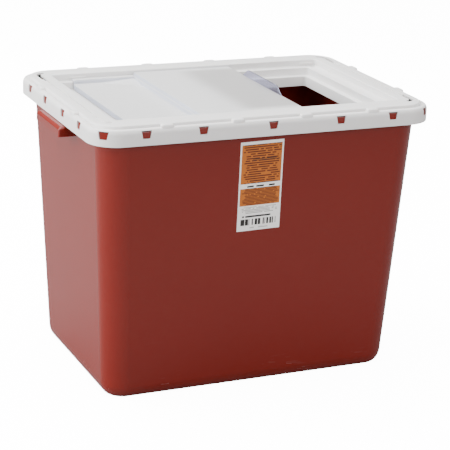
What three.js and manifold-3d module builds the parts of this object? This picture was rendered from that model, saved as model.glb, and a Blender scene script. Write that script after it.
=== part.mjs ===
// Large sharps container: a drafted red tub, a press-fit white lid with a raised ring,
// a clear slide door over the chute, a rim gasket and a front label.
// Millimetres, +Z up. The origin is the middle of the footprint on the floor,
// +X runs along the long side and -Y is the labelled front.

import * as THREE from "three";
import { mergeVertices } from "three/addons/utils/BufferGeometryUtils.js";
import Module from "manifold-3d";

const wasm = await Module();
wasm.setup();

// ---------------------------------------------------------------- driving dimensions

const CORNER_STEPS = 8;
const ROUND_STEPS = 3;
const GAP = 0.3;
const OVERLAP = 0.5;

// Tub
const WALL = 3;
const FLOOR_THICKNESS = 3.5;
const BASE_HALF = { x: 189, y: 122.4 };
const BASE_RADIUS = 27;
const DRAFT = 0.0531;
const RADIUS_GROWTH = 0.019;
const BASE_FILLET = 16.7;
const FILLET_STEPS = 5;
const BIN_TOP = 339.3;

// Rim of the tub
const RIM_DROP = 10.5;
const RIM_HALF = { x: 216.4, y: 146.65 };
const RIM_RADIUS = 32;

// Grip ledges
const GRIP = { reach: 227.5, halfWidth: 43, low: 310, lip: 321, root: 323, cornerRadius: 4 };
const GRIP_WALL = 3;

// Lid
const LID_HALF = { x: 220, y: 150.25 };
const LID_RADIUS = 35.3;
const SKIRT_WALL = 3;
const SKIRT_LOW = 323.3;
const SHOULDER = 343;
const SHOULDER_ROUND = 6;
const RING_TOP = 346.8;
const LID_WALL = 2.5;
const RING_INSET = 7.6;
const RING_RADIUS = 30;
const RING_ROUND = 3.2;
const WELL_HALF = { x: 185, y: 114.4 };
const WELL_RADIUS = 5;
const WELL_ROUND = 1;

// Door ledges, fixed floor and chute inside the lid
const LEDGE_TOP = 338;
const LEDGE_INNER_Y = 106.9;
const LEDGE_INNER_X = 171;
const FLOOR_TOP = 328;
const CHUTE = { left: -13, right: 164.5, halfY: 99.3, low: 314.7 };

// Groove along the short sides of the ring, and the pocket round each end of its inner bar
const GROOVE = { inner: 198, width: 4.4, depth: 1.2, halfLength: 95 };
const POCKET = { centreX: 191.5, centreY: 115, inner: 6.5, outer: 12, start: 94 };

// Latch windows in the skirt and the tabs that fill them
const WINDOW = { top: 13, foot: 9, height: 9.4, centreZ: 336.4 };
const TAB = { width: 8, height: 7, reach: 2.2, tip: 0.6, catchHeight: 2 };
const FRONT_WINDOWS = [-158.8, -88.6, 0, 88.6, 158.8];
const SIDE_WINDOWS = [-90.8, -32.7, 32.7, 90.8];
const CORNER_WINDOW_ANGLE = 48;

// Lugs on the shoulder
const LUG = { width: 14, inset: 1.4, top: 346.2 };
const FRONT_LUGS = [-132.4, -44.1, 44.1, 132.4];
const SIDE_LUGS = [-61.6, 61.6];

// Nibs that keep the door down, and lock slots at its closed end
const NIB = { length: 22, reach: 1.8, low: 341, high: 342.8 };
const NIB_PLACES = [-150, -60, 30, 172];
const LOCK_SLOT = { x: 180, y: 109.6, length: 7, width: 3 };

// Slide door
const DOOR_WALL = 2.2;
const DOOR = { left: -159, step: -78, plateLeft: -76, right: 57, sideY: 110.8, runnerY: 113.8 };
const DOOR_INNER_Y = 102.8;
const RUNNER_END = 4;
const PLATE_TOP = 344.5;
const TRAY_TOP = 335.4;
const RUNNER_LOW = LEDGE_TOP + GAP;
const FLANGE_LOW = 329;
const LIP_LOW = 338.6;
const FINGER_TAB = { footHalf: 58, topHalf: 42, centreY: 5, top: 354.2 };

// Gasket and label
const GASKET = { width: 4.8, outerInset: 10.6 };
const LABEL = { width: 56, height: 112, thickness: 0.4, x: -7.5, z: 259.5, tiltDegrees: -0.9 };

// ---------------------------------------------------------------- shape helpers

// One rounded-rectangle loop at height z, counter-clockwise seen from above.
function loop(halfX, halfY, radius, z) {
  const points = [];
  for (let corner = 0; corner < 4; corner += 1) {
    const signX = corner === 0 || corner === 3 ? 1 : -1;
    const signY = corner < 2 ? 1 : -1;
    for (let step = 0; step <= CORNER_STEPS; step += 1) {
      const angle = ((corner + step / CORNER_STEPS) * Math.PI) / 2;
      points.push(new THREE.Vector3(
        signX * (halfX - radius) + radius * Math.cos(angle),
        signY * (halfY - radius) + radius * Math.sin(angle),
        z,
      ));
    }
  }
  return points;
}

// A skin through loops of equal length: capped at both ends, or joined into a ring.
function skin(loops, joined = false) {
  const count = loops[0].length;
  const positions = loops.flat().flatMap((point) => point.toArray());
  const index = [];
  const bands = joined ? loops.length : loops.length - 1;
  for (let band = 0; band < bands; band += 1) {
    const low = band * count;
    const high = ((band + 1) % loops.length) * count;
    for (let k = 0; k < count; k += 1) {
      const next = (k + 1) % count;
      index.push(low + k, low + next, high + next);
      index.push(low + k, high + next, high + k);
    }
  }
  if (!joined) {
    const top = (loops.length - 1) * count;
    for (let k = 1; k < count - 1; k += 1) {
      index.push(0, k + 1, k);
      index.push(top, top + k, top + k + 1);
    }
  }
  const geometry = new THREE.BufferGeometry();
  geometry.setAttribute("position", new THREE.Float32BufferAttribute(positions, 3));
  geometry.setIndex(index);
  return geometry;
}

// A box given by its lowest and highest corners.
function block(lowX, lowY, lowZ, highX, highY, highZ) {
  const geometry = new THREE.BoxGeometry(highX - lowX, highY - lowY, highZ - lowZ);
  return geometry.translate((lowX + highX) / 2, (lowY + highY) / 2, (lowZ + highZ) / 2);
}

// A closed polygon in the plane of width (across) and height, pushed along its normal.
function prism(corners, depth) {
  const shape = new THREE.Shape(corners.map(([across, up]) => new THREE.Vector2(across, up)));
  return new THREE.ExtrudeGeometry(shape, { depth, bevelEnabled: false });
}

function solid(geometry) {
  const bare = geometry.clone();
  bare.deleteAttribute("normal");
  bare.deleteAttribute("uv");
  const merged = mergeVertices(bare);
  const vertProperties = new Float32Array(merged.getAttribute("position").array);
  const triVerts = new Uint32Array(merged.getIndex().array);
  return new wasm.Manifold(new wasm.Mesh({ numProp: 3, vertProperties, triVerts }));
}

function union(geometries) {
  return geometries.map(solid).reduce((sum, piece) => sum.add(piece));
}

function toGeometry(body) {
  const mesh = body.getMesh();
  const geometry = new THREE.BufferGeometry();
  geometry.setAttribute("position", new THREE.Float32BufferAttribute(mesh.vertProperties, 3));
  geometry.setIndex([...mesh.triVerts]);
  geometry.computeVertexNormals();
  return geometry;
}

// A quarter round from a wall to a top: how far in from the wall, how far below the top.
function quarterRound(size) {
  return Array.from({ length: ROUND_STEPS + 1 }, (_, step) => {
    const angle = (step / ROUND_STEPS) * (Math.PI / 2);
    return { inset: size * (1 - Math.cos(angle)), drop: size * (1 - Math.sin(angle)) };
  });
}

// Where the skirt's latches are: a point on the outline and the way it faces.
function latchPlaces(half, radius) {
  const places = [];
  for (const side of [-1, 1]) {
    for (const x of FRONT_WINDOWS) {
      places.push({ x, y: side * half.y, angle: (side * Math.PI) / 2 });
    }
    for (const y of SIDE_WINDOWS) {
      places.push({ x: side * half.x, y, angle: side > 0 ? 0 : Math.PI });
    }
  }
  for (const signX of [-1, 1]) {
    for (const signY of [-1, 1]) {
      const turn = THREE.MathUtils.degToRad(CORNER_WINDOW_ANGLE);
      const outX = signX * Math.cos(turn);
      const outY = signY * Math.sin(turn);
      places.push({
        x: signX * (half.x - radius) + radius * outX,
        y: signY * (half.y - radius) + radius * outY,
        angle: Math.atan2(outY, outX),
      });
    }
  }
  return places;
}

// Turns a shape that faces +X at the origin so that it stands at one latch place.
function standAt(geometry, place) {
  return geometry.rotateZ(place.angle).translate(place.x, place.y, 0);
}

// ---------------------------------------------------------------- tub

function tubSection(z, inset) {
  const grown = DRAFT * z - inset;
  const radius = BASE_RADIUS + RADIUS_GROWTH * z - inset;
  return { x: BASE_HALF.x + grown, y: BASE_HALF.y + grown, radius };
}

// The tub's outside or inside, from its rounded bottom edge up to the given height.
function tubBody(inset, floor, top) {
  const round = BASE_FILLET - inset;
  const loops = [];
  for (let step = 0; step <= FILLET_STEPS; step += 1) {
    const angle = (step / FILLET_STEPS) * (Math.PI / 2);
    const z = floor + round * (1 - Math.cos(angle));
    const section = tubSection(z, inset + round * (1 - Math.sin(angle)));
    loops.push(loop(section.x, section.y, section.radius, z));
  }
  const end = tubSection(top, inset);
  loops.push(loop(end.x, end.y, end.radius, top));
  return skin(loops);
}

function rimCollar() {
  const wall = tubSection(BIN_TOP, WALL / 2);
  const inner = { x: RIM_HALF.x - WALL, y: RIM_HALF.y - WALL, radius: RIM_RADIUS - WALL };
  const low = BIN_TOP - RIM_DROP;
  const under = BIN_TOP - WALL;
  return skin([
    loop(RIM_HALF.x, RIM_HALF.y, RIM_RADIUS, low),
    loop(RIM_HALF.x, RIM_HALF.y, RIM_RADIUS, BIN_TOP),
    loop(wall.x, wall.y, wall.radius, BIN_TOP),
    loop(wall.x, wall.y, wall.radius, under),
    loop(inner.x, inner.y, inner.radius, under),
    loop(inner.x, inner.y, inner.radius, low),
  ], true);
}

// One latch tab facing +X: a ramp above and a flat catch below.
function latchTab() {
  const low = WINDOW.centreZ - WINDOW.height / 2 + GAP;
  const high = low + TAB.height;
  const side = [
    [-OVERLAP, low],
    [TAB.reach, low],
    [TAB.reach, low + TAB.catchHeight],
    [TAB.tip, high],
    [-OVERLAP, high],
  ];
  return prism(side, TAB.width).translate(0, 0, -TAB.width / 2).rotateX(Math.PI / 2);
}

// One grip ledge on the +X side: a cap, hollow underneath for the fingers.
function grip() {
  const wallAt = tubSection(GRIP.low, WALL / 2).x;
  const skirtFoot = LID_HALF.x - SKIRT_WALL - OVERLAP;
  const outside = [
    [wallAt, GRIP.low],
    [GRIP.reach, GRIP.low],
    [GRIP.reach, GRIP.lip],
    [LID_HALF.x, GRIP.root],
    [skirtFoot, GRIP.root],
    [wallAt, GRIP.root],
  ];
  const shell = prism(outside, 2 * GRIP.halfWidth);
  shell.translate(0, 0, -GRIP.halfWidth).rotateX(Math.PI / 2);
  const wallOutside = tubSection(GRIP.low, 0).x;
  const roof = GRIP.lip - GRIP_WALL;
  const inside = block(
    wallOutside - OVERLAP, -GRIP.halfWidth + GRIP_WALL, GRIP.low - OVERLAP,
    GRIP.reach - GRIP_WALL, GRIP.halfWidth - GRIP_WALL, roof,
  );
  return solid(shell).subtract(solid(inside));
}

function binSolid() {
  const cavity = solid(tubBody(WALL, FLOOR_THICKNESS, BIN_TOP + OVERLAP));
  let body = solid(tubBody(0, 0, BIN_TOP)).add(solid(rimCollar()));
  for (const place of latchPlaces(RIM_HALF, RIM_RADIUS)) {
    body = body.add(solid(standAt(latchTab(), place)));
  }
  const right = grip();
  body = body.add(right).add(right.mirror([1, 0, 0]));
  return body.subtract(cavity);
}

// ---------------------------------------------------------------- lid

// The lid's shell: skirt, shoulder and raised ring, open below.
function lidShell() {
  const at = (inset, z, radius) => loop(LID_HALF.x - inset, LID_HALF.y - inset, radius, z);
  const well = (grow, z) => loop(WELL_HALF.x + grow, WELL_HALF.y + grow, WELL_RADIUS + grow, z);
  const ringInside = RING_INSET + LID_WALL;
  const ringInsideRadius = RING_RADIUS - LID_WALL;
  const ledgeUnder = LEDGE_TOP - LID_WALL;
  const skirtEdge = quarterRound(SHOULDER_ROUND);
  const ringEdge = quarterRound(RING_ROUND);
  const wellEdge = quarterRound(WELL_ROUND).reverse();
  return skin([
    at(0, SKIRT_LOW, LID_RADIUS),
    ...skirtEdge.map(({ inset, drop }) => at(inset, SHOULDER - drop, LID_RADIUS - inset)),
    at(RING_INSET, SHOULDER, RING_RADIUS),
    ...ringEdge.map(({ inset, drop }) => {
      return at(RING_INSET + inset, RING_TOP - drop, RING_RADIUS - inset);
    }),
    ...wellEdge.map(({ inset, drop }) => well(inset, RING_TOP - drop)),
    well(0, ledgeUnder),
    well(LID_WALL, ledgeUnder),
    well(LID_WALL, RING_TOP - LID_WALL),
    at(ringInside, RING_TOP - LID_WALL, ringInsideRadius),
    at(ringInside, SHOULDER - LID_WALL, ringInsideRadius),
    at(SKIRT_WALL, SHOULDER - LID_WALL, LID_RADIUS - SKIRT_WALL),
    at(SKIRT_WALL, SKIRT_LOW, LID_RADIUS - SKIRT_WALL),
  ], true);
}

// The stepped pan inside the ring, with its ledges, its fixed floor and the chute.
function lidPan() {
  const t = LID_WALL;
  const ledgeUnder = LEDGE_TOP - t;
  const outside = union([
    block(
      -WELL_HALF.x - t, -WELL_HALF.y - t, ledgeUnder,
      WELL_HALF.x + t, WELL_HALF.y + t, LEDGE_TOP,
    ),
    block(
      -WELL_HALF.x - t, -LEDGE_INNER_Y - t, FLOOR_TOP - t,
      LEDGE_INNER_X + t, LEDGE_INNER_Y + t, LEDGE_TOP,
    ),
    block(
      CHUTE.left - t, -CHUTE.halfY - t, CHUTE.low,
      CHUTE.right + t, CHUTE.halfY + t, FLOOR_TOP,
    ),
  ]);
  const inside = union([
    block(-WELL_HALF.x, -LEDGE_INNER_Y, FLOOR_TOP, LEDGE_INNER_X, LEDGE_INNER_Y, LEDGE_TOP + t),
    block(CHUTE.left, -CHUTE.halfY, CHUTE.low - t, CHUTE.right, CHUTE.halfY, FLOOR_TOP + t),
  ]);
  return outside.subtract(inside);
}

function latchWindow() {
  const half = WINDOW.height / 2;
  const trapezoid = [
    [-WINDOW.foot / 2, -half],
    [WINDOW.foot / 2, -half],
    [WINDOW.top / 2, half],
    [-WINDOW.top / 2, half],
  ];
  const depth = 4 * SKIRT_WALL;
  const cut = prism(trapezoid, depth).translate(0, 0, -depth / 2);
  cut.rotateX(Math.PI / 2).rotateZ(Math.PI / 2);
  return cut.translate(0, 0, WINDOW.centreZ);
}

function lugs() {
  const shapes = [];
  const depth = RING_INSET + 1;
  const low = SHOULDER - LID_WALL + OVERLAP;
  const half = LUG.width / 2;
  for (const side of [-1, 1]) {
    for (const x of FRONT_LUGS) {
      const outer = side * (LID_HALF.y - LUG.inset);
      const inner = side * (LID_HALF.y - depth);
      shapes.push(block(
        x - half, Math.min(outer, inner), low,
        x + half, Math.max(outer, inner), LUG.top,
      ));
    }
    for (const y of SIDE_LUGS) {
      const outer = side * (LID_HALF.x - LUG.inset);
      const inner = side * (LID_HALF.x - depth);
      shapes.push(block(
        Math.min(outer, inner), y - half, low,
        Math.max(outer, inner), y + half, LUG.top,
      ));
    }
  }
  return shapes;
}

// The slot round one end of the ring's inner bar, in the corner where X and Y are positive.
function cornerPocket() {
  const { centreX, centreY, inner, outer, start } = POCKET;
  const shape = new THREE.Shape();
  shape.moveTo(centreX + inner, start);
  shape.lineTo(centreX + outer, start);
  shape.absarc(centreX, centreY, outer, 0, Math.PI / 2, false);
  shape.absarc(centreX, centreY, inner, Math.PI / 2, 0, true);
  const depth = 2 * LID_WALL;
  const options = { depth, bevelEnabled: false, curveSegments: CORNER_STEPS };
  return solid(new THREE.ExtrudeGeometry(shape, options).translate(0, 0, RING_TOP - depth + OVERLAP));
}

function doorNibs() {
  const shapes = [];
  for (const side of [-1, 1]) {
    for (const x of NIB_PLACES) {
      const tip = side * (WELL_HALF.y - NIB.reach);
      const root = side * (WELL_HALF.y + OVERLAP);
      shapes.push(block(
        x - NIB.length / 2, Math.min(tip, root), NIB.low,
        x + NIB.length / 2, Math.max(tip, root), NIB.high,
      ));
    }
  }
  return shapes;
}

function lidSolid() {
  let body = solid(lidShell()).add(lidPan());
  body = body.add(union([...lugs(), ...doorNibs()]));
  for (const place of latchPlaces(LID_HALF, LID_RADIUS)) {
    body = body.subtract(solid(standAt(latchWindow(), place)));
  }
  const pocket = cornerPocket();
  const pair = pocket.add(pocket.mirror([1, 0, 0]));
  body = body.subtract(pair.add(pair.mirror([0, 1, 0])));
  for (const side of [-1, 1]) {
    const edges = [side * GROOVE.inner, side * (GROOVE.inner + GROOVE.width)];
    body = body.subtract(solid(block(
      Math.min(...edges), -GROOVE.halfLength, RING_TOP - GROOVE.depth,
      Math.max(...edges), GROOVE.halfLength, RING_TOP + OVERLAP,
    )));
    const middle = side * LOCK_SLOT.y;
    body = body.subtract(solid(block(
      LOCK_SLOT.x - LOCK_SLOT.length / 2, middle - LOCK_SLOT.width / 2, LEDGE_TOP - 2 * LID_WALL,
      LOCK_SLOT.x + LOCK_SLOT.length / 2, middle + LOCK_SLOT.width / 2, LEDGE_TOP + OVERLAP,
    )));
  }
  return body;
}

// ---------------------------------------------------------------- slide door

// The door's long section, seen from the front, pushed across the well.
function doorSection(halfY) {
  const t = DOOR_WALL;
  const section = [
    [DOOR.left, FLANGE_LOW],
    [DOOR.left + t, FLANGE_LOW],
    [DOOR.left + t, TRAY_TOP - t],
    [DOOR.step + t, TRAY_TOP - t],
    [DOOR.plateLeft + t, PLATE_TOP - t],
    [DOOR.right - t, PLATE_TOP - t],
    [DOOR.right - t, LIP_LOW],
    [DOOR.right, LIP_LOW],
    [DOOR.right, PLATE_TOP],
    [DOOR.plateLeft, PLATE_TOP],
    [DOOR.step, TRAY_TOP],
    [DOOR.left, TRAY_TOP],
  ];
  return prism(section, 2 * halfY).translate(0, 0, -halfY).rotateX(Math.PI / 2);
}

function doorSolid() {
  const t = DOOR_WALL;
  const shapes = [doorSection(DOOR_INNER_Y)];
  for (const side of [-1, 1]) {
    const span = (from, to, lowX, lowZ, highX, highZ) => {
      const ys = [side * from, side * to];
      return block(lowX, Math.min(...ys), lowZ, highX, Math.max(...ys), highZ);
    };
    shapes.push(span(
      DOOR_INNER_Y - t, DOOR.runnerY, DOOR.left + RUNNER_END, RUNNER_LOW,
      DOOR.right - RUNNER_END, RUNNER_LOW + t,
    ));
    shapes.push(span(
      DOOR_INNER_Y - t, DOOR_INNER_Y, DOOR.left, TRAY_TOP - t,
      DOOR.plateLeft, RUNNER_LOW + t,
    ));
    shapes.push(span(
      DOOR.sideY - t, DOOR.sideY, DOOR.plateLeft, RUNNER_LOW,
      DOOR.right, PLATE_TOP,
    ));
    shapes.push(span(
      DOOR_INNER_Y - t, DOOR.sideY, DOOR.plateLeft, PLATE_TOP - t,
      DOOR.right, PLATE_TOP,
    ));
    shapes.push(span(
      DOOR_INNER_Y - t, DOOR.sideY, DOOR.plateLeft, RUNNER_LOW,
      DOOR.plateLeft + t, PLATE_TOP,
    ));
  }
  const trapezoid = [
    [FINGER_TAB.centreY - FINGER_TAB.footHalf, PLATE_TOP - OVERLAP],
    [FINGER_TAB.centreY + FINGER_TAB.footHalf, PLATE_TOP - OVERLAP],
    [FINGER_TAB.centreY + FINGER_TAB.topHalf, FINGER_TAB.top],
    [FINGER_TAB.centreY - FINGER_TAB.topHalf, FINGER_TAB.top],
  ];
  const tab = prism(trapezoid, t).rotateX(Math.PI / 2).rotateZ(Math.PI / 2);
  shapes.push(tab.translate(DOOR.right - t, 0, 0));
  return union(shapes);
}

// ---------------------------------------------------------------- gasket and label

function gasketGeometry() {
  const low = BIN_TOP + GAP;
  const high = RING_TOP - LID_WALL - GAP;
  const outer = GASKET.outerInset;
  const inner = GASKET.outerInset + GASKET.width;
  const at = (inset, z) => {
    const radius = RING_RADIUS - LID_WALL - (inset - outer) - GAP;
    return loop(LID_HALF.x - inset, LID_HALF.y - inset, radius, z);
  };
  return skin([at(outer, low), at(outer, high), at(inner, high), at(inner, low)], true);
}

function labelMesh(material) {
  const geometry = new THREE.BoxGeometry(LABEL.width, LABEL.thickness, LABEL.height);
  const mesh = new THREE.Mesh(geometry, material);
  const lean = Math.atan(DRAFT);
  const wallY = -(BASE_HALF.y + DRAFT * LABEL.z);
  const standOff = (GAP + LABEL.thickness / 2) / Math.cos(lean);
  mesh.position.set(LABEL.x, wallY - standOff, LABEL.z);
  mesh.rotation.set(lean, THREE.MathUtils.degToRad(LABEL.tiltDegrees), 0, "XYZ");
  return mesh;
}

// ---------------------------------------------------------------- assembly

function plastic(color, roughness, opacity = 1) {
  return new THREE.MeshStandardMaterial({
    color, roughness, metalness: 0, opacity, transparent: opacity < 1,
  });
}

const group = new THREE.Group();

function place(name, mesh) {
  mesh.name = name;
  group.add(mesh);
}

place("bin", new THREE.Mesh(toGeometry(binSolid()), plastic(0x7e2f28, 0.3)));
place("lid_frame", new THREE.Mesh(toGeometry(lidSolid()), plastic(0xe6e6e4, 0.4)));
place("slide_door", new THREE.Mesh(toGeometry(doorSolid()), plastic(0xdfe3e8, 0.35, 0.7)));
place("rim_gasket", new THREE.Mesh(gasketGeometry(), plastic(0x3a3a3c, 0.8)));
place("front_label", labelMesh(plastic(0xc07a35, 0.55)));

export default group;
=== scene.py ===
import math

import bmesh
import bpy
from bpy.props import FloatProperty, FloatVectorProperty, IntProperty, PointerProperty
from mathutils import Matrix, Vector


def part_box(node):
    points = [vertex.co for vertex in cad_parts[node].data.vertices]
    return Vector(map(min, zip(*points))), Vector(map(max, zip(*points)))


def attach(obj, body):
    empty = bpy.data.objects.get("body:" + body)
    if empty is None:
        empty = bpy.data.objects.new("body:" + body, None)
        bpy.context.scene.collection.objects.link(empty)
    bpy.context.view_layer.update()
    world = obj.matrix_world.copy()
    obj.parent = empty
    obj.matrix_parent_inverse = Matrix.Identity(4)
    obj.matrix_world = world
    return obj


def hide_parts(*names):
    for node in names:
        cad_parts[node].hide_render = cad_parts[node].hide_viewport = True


bl_info = {
    "name": "Sharps Container Maker",
    "version": (1, 0, 0),
    "blender": (4, 5, 0),
    "location": "View3D > Sidebar > Sharps Container",
    "description": "Builds a large sharps container with a slide-door lid around its packed frame",
    "category": "Object",
}

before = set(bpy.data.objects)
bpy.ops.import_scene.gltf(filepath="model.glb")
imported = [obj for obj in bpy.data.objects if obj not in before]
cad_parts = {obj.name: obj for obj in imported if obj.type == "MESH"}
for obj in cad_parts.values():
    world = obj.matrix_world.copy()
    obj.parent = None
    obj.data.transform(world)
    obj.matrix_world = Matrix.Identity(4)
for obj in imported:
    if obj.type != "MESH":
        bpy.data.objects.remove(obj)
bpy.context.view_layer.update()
BIN_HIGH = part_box("bin")[1]
LID_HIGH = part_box("lid_frame")[1]
DOOR_LOW, DOOR_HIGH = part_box("slide_door")
GASKET_LOW, GASKET_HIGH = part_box("rim_gasket")

MM = 0.001
QUARTER_TURN = math.pi / 2
WHITE = (1.0, 1.0, 1.0, 1.0)

# ------------------------------------------------------------------ settings


def length(label, about, value):
    return FloatProperty(
        name=label, description=about, default=value, unit="LENGTH", subtype="DISTANCE"
    )


def share(label, about, value):
    return FloatProperty(
        name=label, description=about, default=value, min=0.0, max=1.0, subtype="FACTOR"
    )


def colour(label, about, value):
    return FloatVectorProperty(
        name=label, description=about, default=value, size=4, min=0.0, max=1.0, subtype="COLOR"
    )


def angle(label, about, degrees):
    return FloatProperty(
        name=label, description=about, default=math.radians(degrees), unit="ROTATION"
    )


def number(label, about, value):
    return FloatProperty(name=label, description=about, default=value)


class TubSettings(bpy.types.PropertyGroup):
    wall: length("Wall", "Thickness of the tub's wall", 3.0 * MM)
    floor: length("Floor", "Thickness of the tub's floor", 3.5 * MM)
    base_half_x: length("Base half length", "Half the tub's length at the floor", 189.0 * MM)
    base_half_y: length("Base half width", "Half the tub's width at the floor", 122.4 * MM)
    base_radius: length("Base corner", "Corner radius at the floor", 27.0 * MM)
    base_fillet: length("Base fillet", "Round along the bottom edge", 16.7 * MM)
    draft: number("Draft", "Growth per height of each side", 0.0531)
    corner_growth: number("Corner growth", "Growth per height of the corner radius", 0.019)
    rim_drop: length("Rim drop", "Height of the turned-over rim", 10.5 * MM)
    rim_top: length("Rim top", "Height of the rim's top face", 339.3 * MM)
    rim_half_x: length("Rim half length", "Half the rim's length", 216.4 * MM)
    rim_half_y: length("Rim half width", "Half the rim's width", 146.65 * MM)
    rim_radius: length("Rim corner", "Corner radius of the rim", 32.0 * MM)
    grip_half: length("Grip half width", "Half the width of a grip ledge", 43.0 * MM)
    grip_low: length("Grip foot", "Height of the grip's lower edge", 310.0 * MM)
    grip_lip: length("Grip lip", "Height of the grip's outer top edge", 321.0 * MM)
    grip_root: length("Grip root", "Height of the grip where it goes under the lid", 323.0 * MM)
    colour: colour("Tub colour", "Moulded colour of the tub", (0.166, 0.0095, 0.004, 1.0))


class LidSettings(bpy.types.PropertyGroup):
    radius: length("Lid corner", "Corner radius of the skirt", 35.3 * MM)
    skirt_wall: length("Skirt wall", "Thickness of the skirt", 3.0 * MM)
    wall: length("Lid wall", "Thickness of the lid's other walls", 2.5 * MM)
    skirt_round: length("Shoulder round", "Round from the skirt to the shoulder", 6.4 * MM)
    skirt_low: length("Skirt foot", "Height of the skirt's lower edge", 323.3 * MM)
    shoulder: length("Shoulder", "Height of the shoulder", 343.0 * MM)
    ring_inset: length("Ring inset", "From the skirt's face to the ring's foot", 7.6 * MM)
    ring_top: length("Ring top", "Height of the ring's crest", 346.8 * MM)
    ring_radius: length("Ring corner", "Corner radius of the ring", 30.0 * MM)
    well_half_x: length("Well half length", "Half the length of the well in the ring", 185.0 * MM)
    well_half_y: length("Well half width", "Half the width of the well in the ring", 114.4 * MM)
    ledge: length("Door ledge", "Height of the ledge the door runs on", 338.0 * MM)
    ledge_x: length("Ledge end", "Where the ledge at the chute end stops", 171.0 * MM)
    ledge_y: length("Ledge edge", "Half the gap between the two long ledges", 106.9 * MM)
    floor: length("Fixed floor", "Height of the fixed floor under the door", 328.0 * MM)
    chute_left: length("Chute left", "Left edge of the chute", -13.0 * MM)
    chute_right: length("Chute right", "Right edge of the chute", 164.5 * MM)
    chute_half_y: length("Chute half width", "Half the width of the chute", 99.3 * MM)
    chute_low: length("Chute foot", "Height of the chute's lower edge", 314.7 * MM)
    window_top: length("Window top", "Width of a latch window along its top", 13.0 * MM)
    window_foot: length("Window foot", "Width of a latch window along its foot", 9.0 * MM)
    window_height: length("Window height", "Height of a latch window", 9.4 * MM)
    window_z: length("Window centre", "Height of the middle of a latch window", 336.4 * MM)
    lug_width: length("Lug width", "Width of a lug on the shoulder", 14.0 * MM)
    groove: length("Side groove", "Depth of the groove along each short side", 2.2 * MM)
    colour: colour("Lid colour", "Moulded colour of the lid", (0.80, 0.79, 0.78, 1.0))


class DoorSettings(bpy.types.PropertyGroup):
    wall: length("Door wall", "Thickness of the door", 2.2 * MM)
    step: length("Step foot", "Where the tray ends and the step up begins", -78.0 * MM)
    plate_left: length("Plate start", "Where the raised plate begins", -76.0 * MM)
    plate_top: length("Plate top", "Height of the raised plate", 344.5 * MM)
    tray_top: length("Tray floor", "Height of the tray's floor", 335.4 * MM)
    tray_half_y: length("Tray half width", "Half the width of the tray", 102.8 * MM)
    side_y: length("Plate half width", "Half the width of the raised plate", 110.8 * MM)
    runner_top: length("Runner top", "Height of the runners' top face", 340.5 * MM)
    runner_end: length("Runner end", "How far the runners stop short of the door's ends", 4.0 * MM)
    lip_low: length("Lip foot", "Height of the lower edge of the turned-down lip", 338.6 * MM)
    clearance: length("Clearance", "Gap that the door keeps over the ledges", 0.3 * MM)
    tab_centre: length("Tab centre", "Middle of the finger tab along Y", 5.0 * MM)
    tab_foot_half: length("Tab foot", "Half the finger tab's width at its foot", 58.0 * MM)
    tab_top_half: length("Tab top", "Half the finger tab's width at its top", 42.0 * MM)
    colour: colour("Door colour", "Colour of the frosted plastic", WHITE)
    edge: colour("Edge colour", "Colour where the frosted plastic turns down", (0.72, 0.76, 0.90, 1.0))


class LabelSettings(bpy.types.PropertyGroup):
    width: length("Label width", "Width of the label", 56.0 * MM)
    height: length("Label height", "Height of the label", 112.0 * MM)
    centre_x: length("Label place", "Middle of the label along X", -7.5 * MM)
    centre_z: length("Label level", "Height of the middle of the label", 259.5 * MM)
    thickness: length("Film", "Thickness of the label film", 0.25 * MM)
    lift: length("Film lift", "Gap behind the label film", 0.08 * MM)
    panel: colour("Panel colour", "Colour of the label's printed panels", (0.55, 0.15, 0.012, 1.0))
    paper: colour("Paper colour", "Colour of the label's plain film", (0.93, 0.92, 0.90, 1.0))
    ink: colour("Ink colour", "Colour of the greeked lines on the panels", (0.085, 0.014, 0.004, 1.0))


class StageSettings(bpy.types.PropertyGroup):
    distance: length("Camera distance", "From the camera to the point it looks at", 2.1726)
    target_x: length("Target X", "The point the camera looks at", 0.01074)
    target_z: length("Target Z", "The point the camera looks at", 0.16531)
    azimuth: angle("Azimuth", "Turn of the camera to the left of the front", 24.489)
    elevation: angle("Elevation", "Height of the camera above the horizon", 18.190)
    roll: angle("Roll", "Tilt of the camera about its line of sight", 2.316)
    lens: number("Lens", "Focal length in millimetres", 136.308)
    floor: colour("Floor colour", "Colour of the pale floor", (0.93, 0.93, 0.93, 1.0))
    floor_bounce: share("Floor bounce", "Share of the light that the floor throws back", 0.27)
    floor_glow: number("Floor glow", "Brightness added for the camera only", 13.0)
    sky: number("Sky", "Strength of the light from all round", 0.45)
    corner_steps: IntProperty(name="Corner steps", description="Steps round each corner", default=22)


# ------------------------------------------------------------------ mesh helpers

SMALL_ROUND_STEPS = 3
LARGE_ROUND_STEPS = 10
LARGE_ROUND_FROM = 3 * MM
LEAST_REACH = 1e-6
MERGE_DISTANCE = 1e-6
FACE_WEIGHT = 90
SHARP_ANGLE = 32.0
BLOCK_SHARP_ANGLE = 50.0
DOOR_SHARP_ANGLE = 40.0

class Station:
    """One rounded rectangle of a loft, and how far the edge along it is rounded."""

    def __init__(self, low_x, high_x, half_y, radius, z, ease=0.0):
        self.values = Vector(((low_x + high_x) / 2, (high_x - low_x) / 2, half_y, radius, z))
        self.ease = ease

    def reach(self, other):
        """How far the nearest side moves between two stations."""
        centre, half_x, half_y, _radius, z = other.values - self.values
        sides = (abs(half_x - centre), abs(half_x + centre), abs(half_y))
        return max(math.hypot(min(sides), z), LEAST_REACH)


def between(first, second, amount):
    return first + (second - first) * amount


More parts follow.
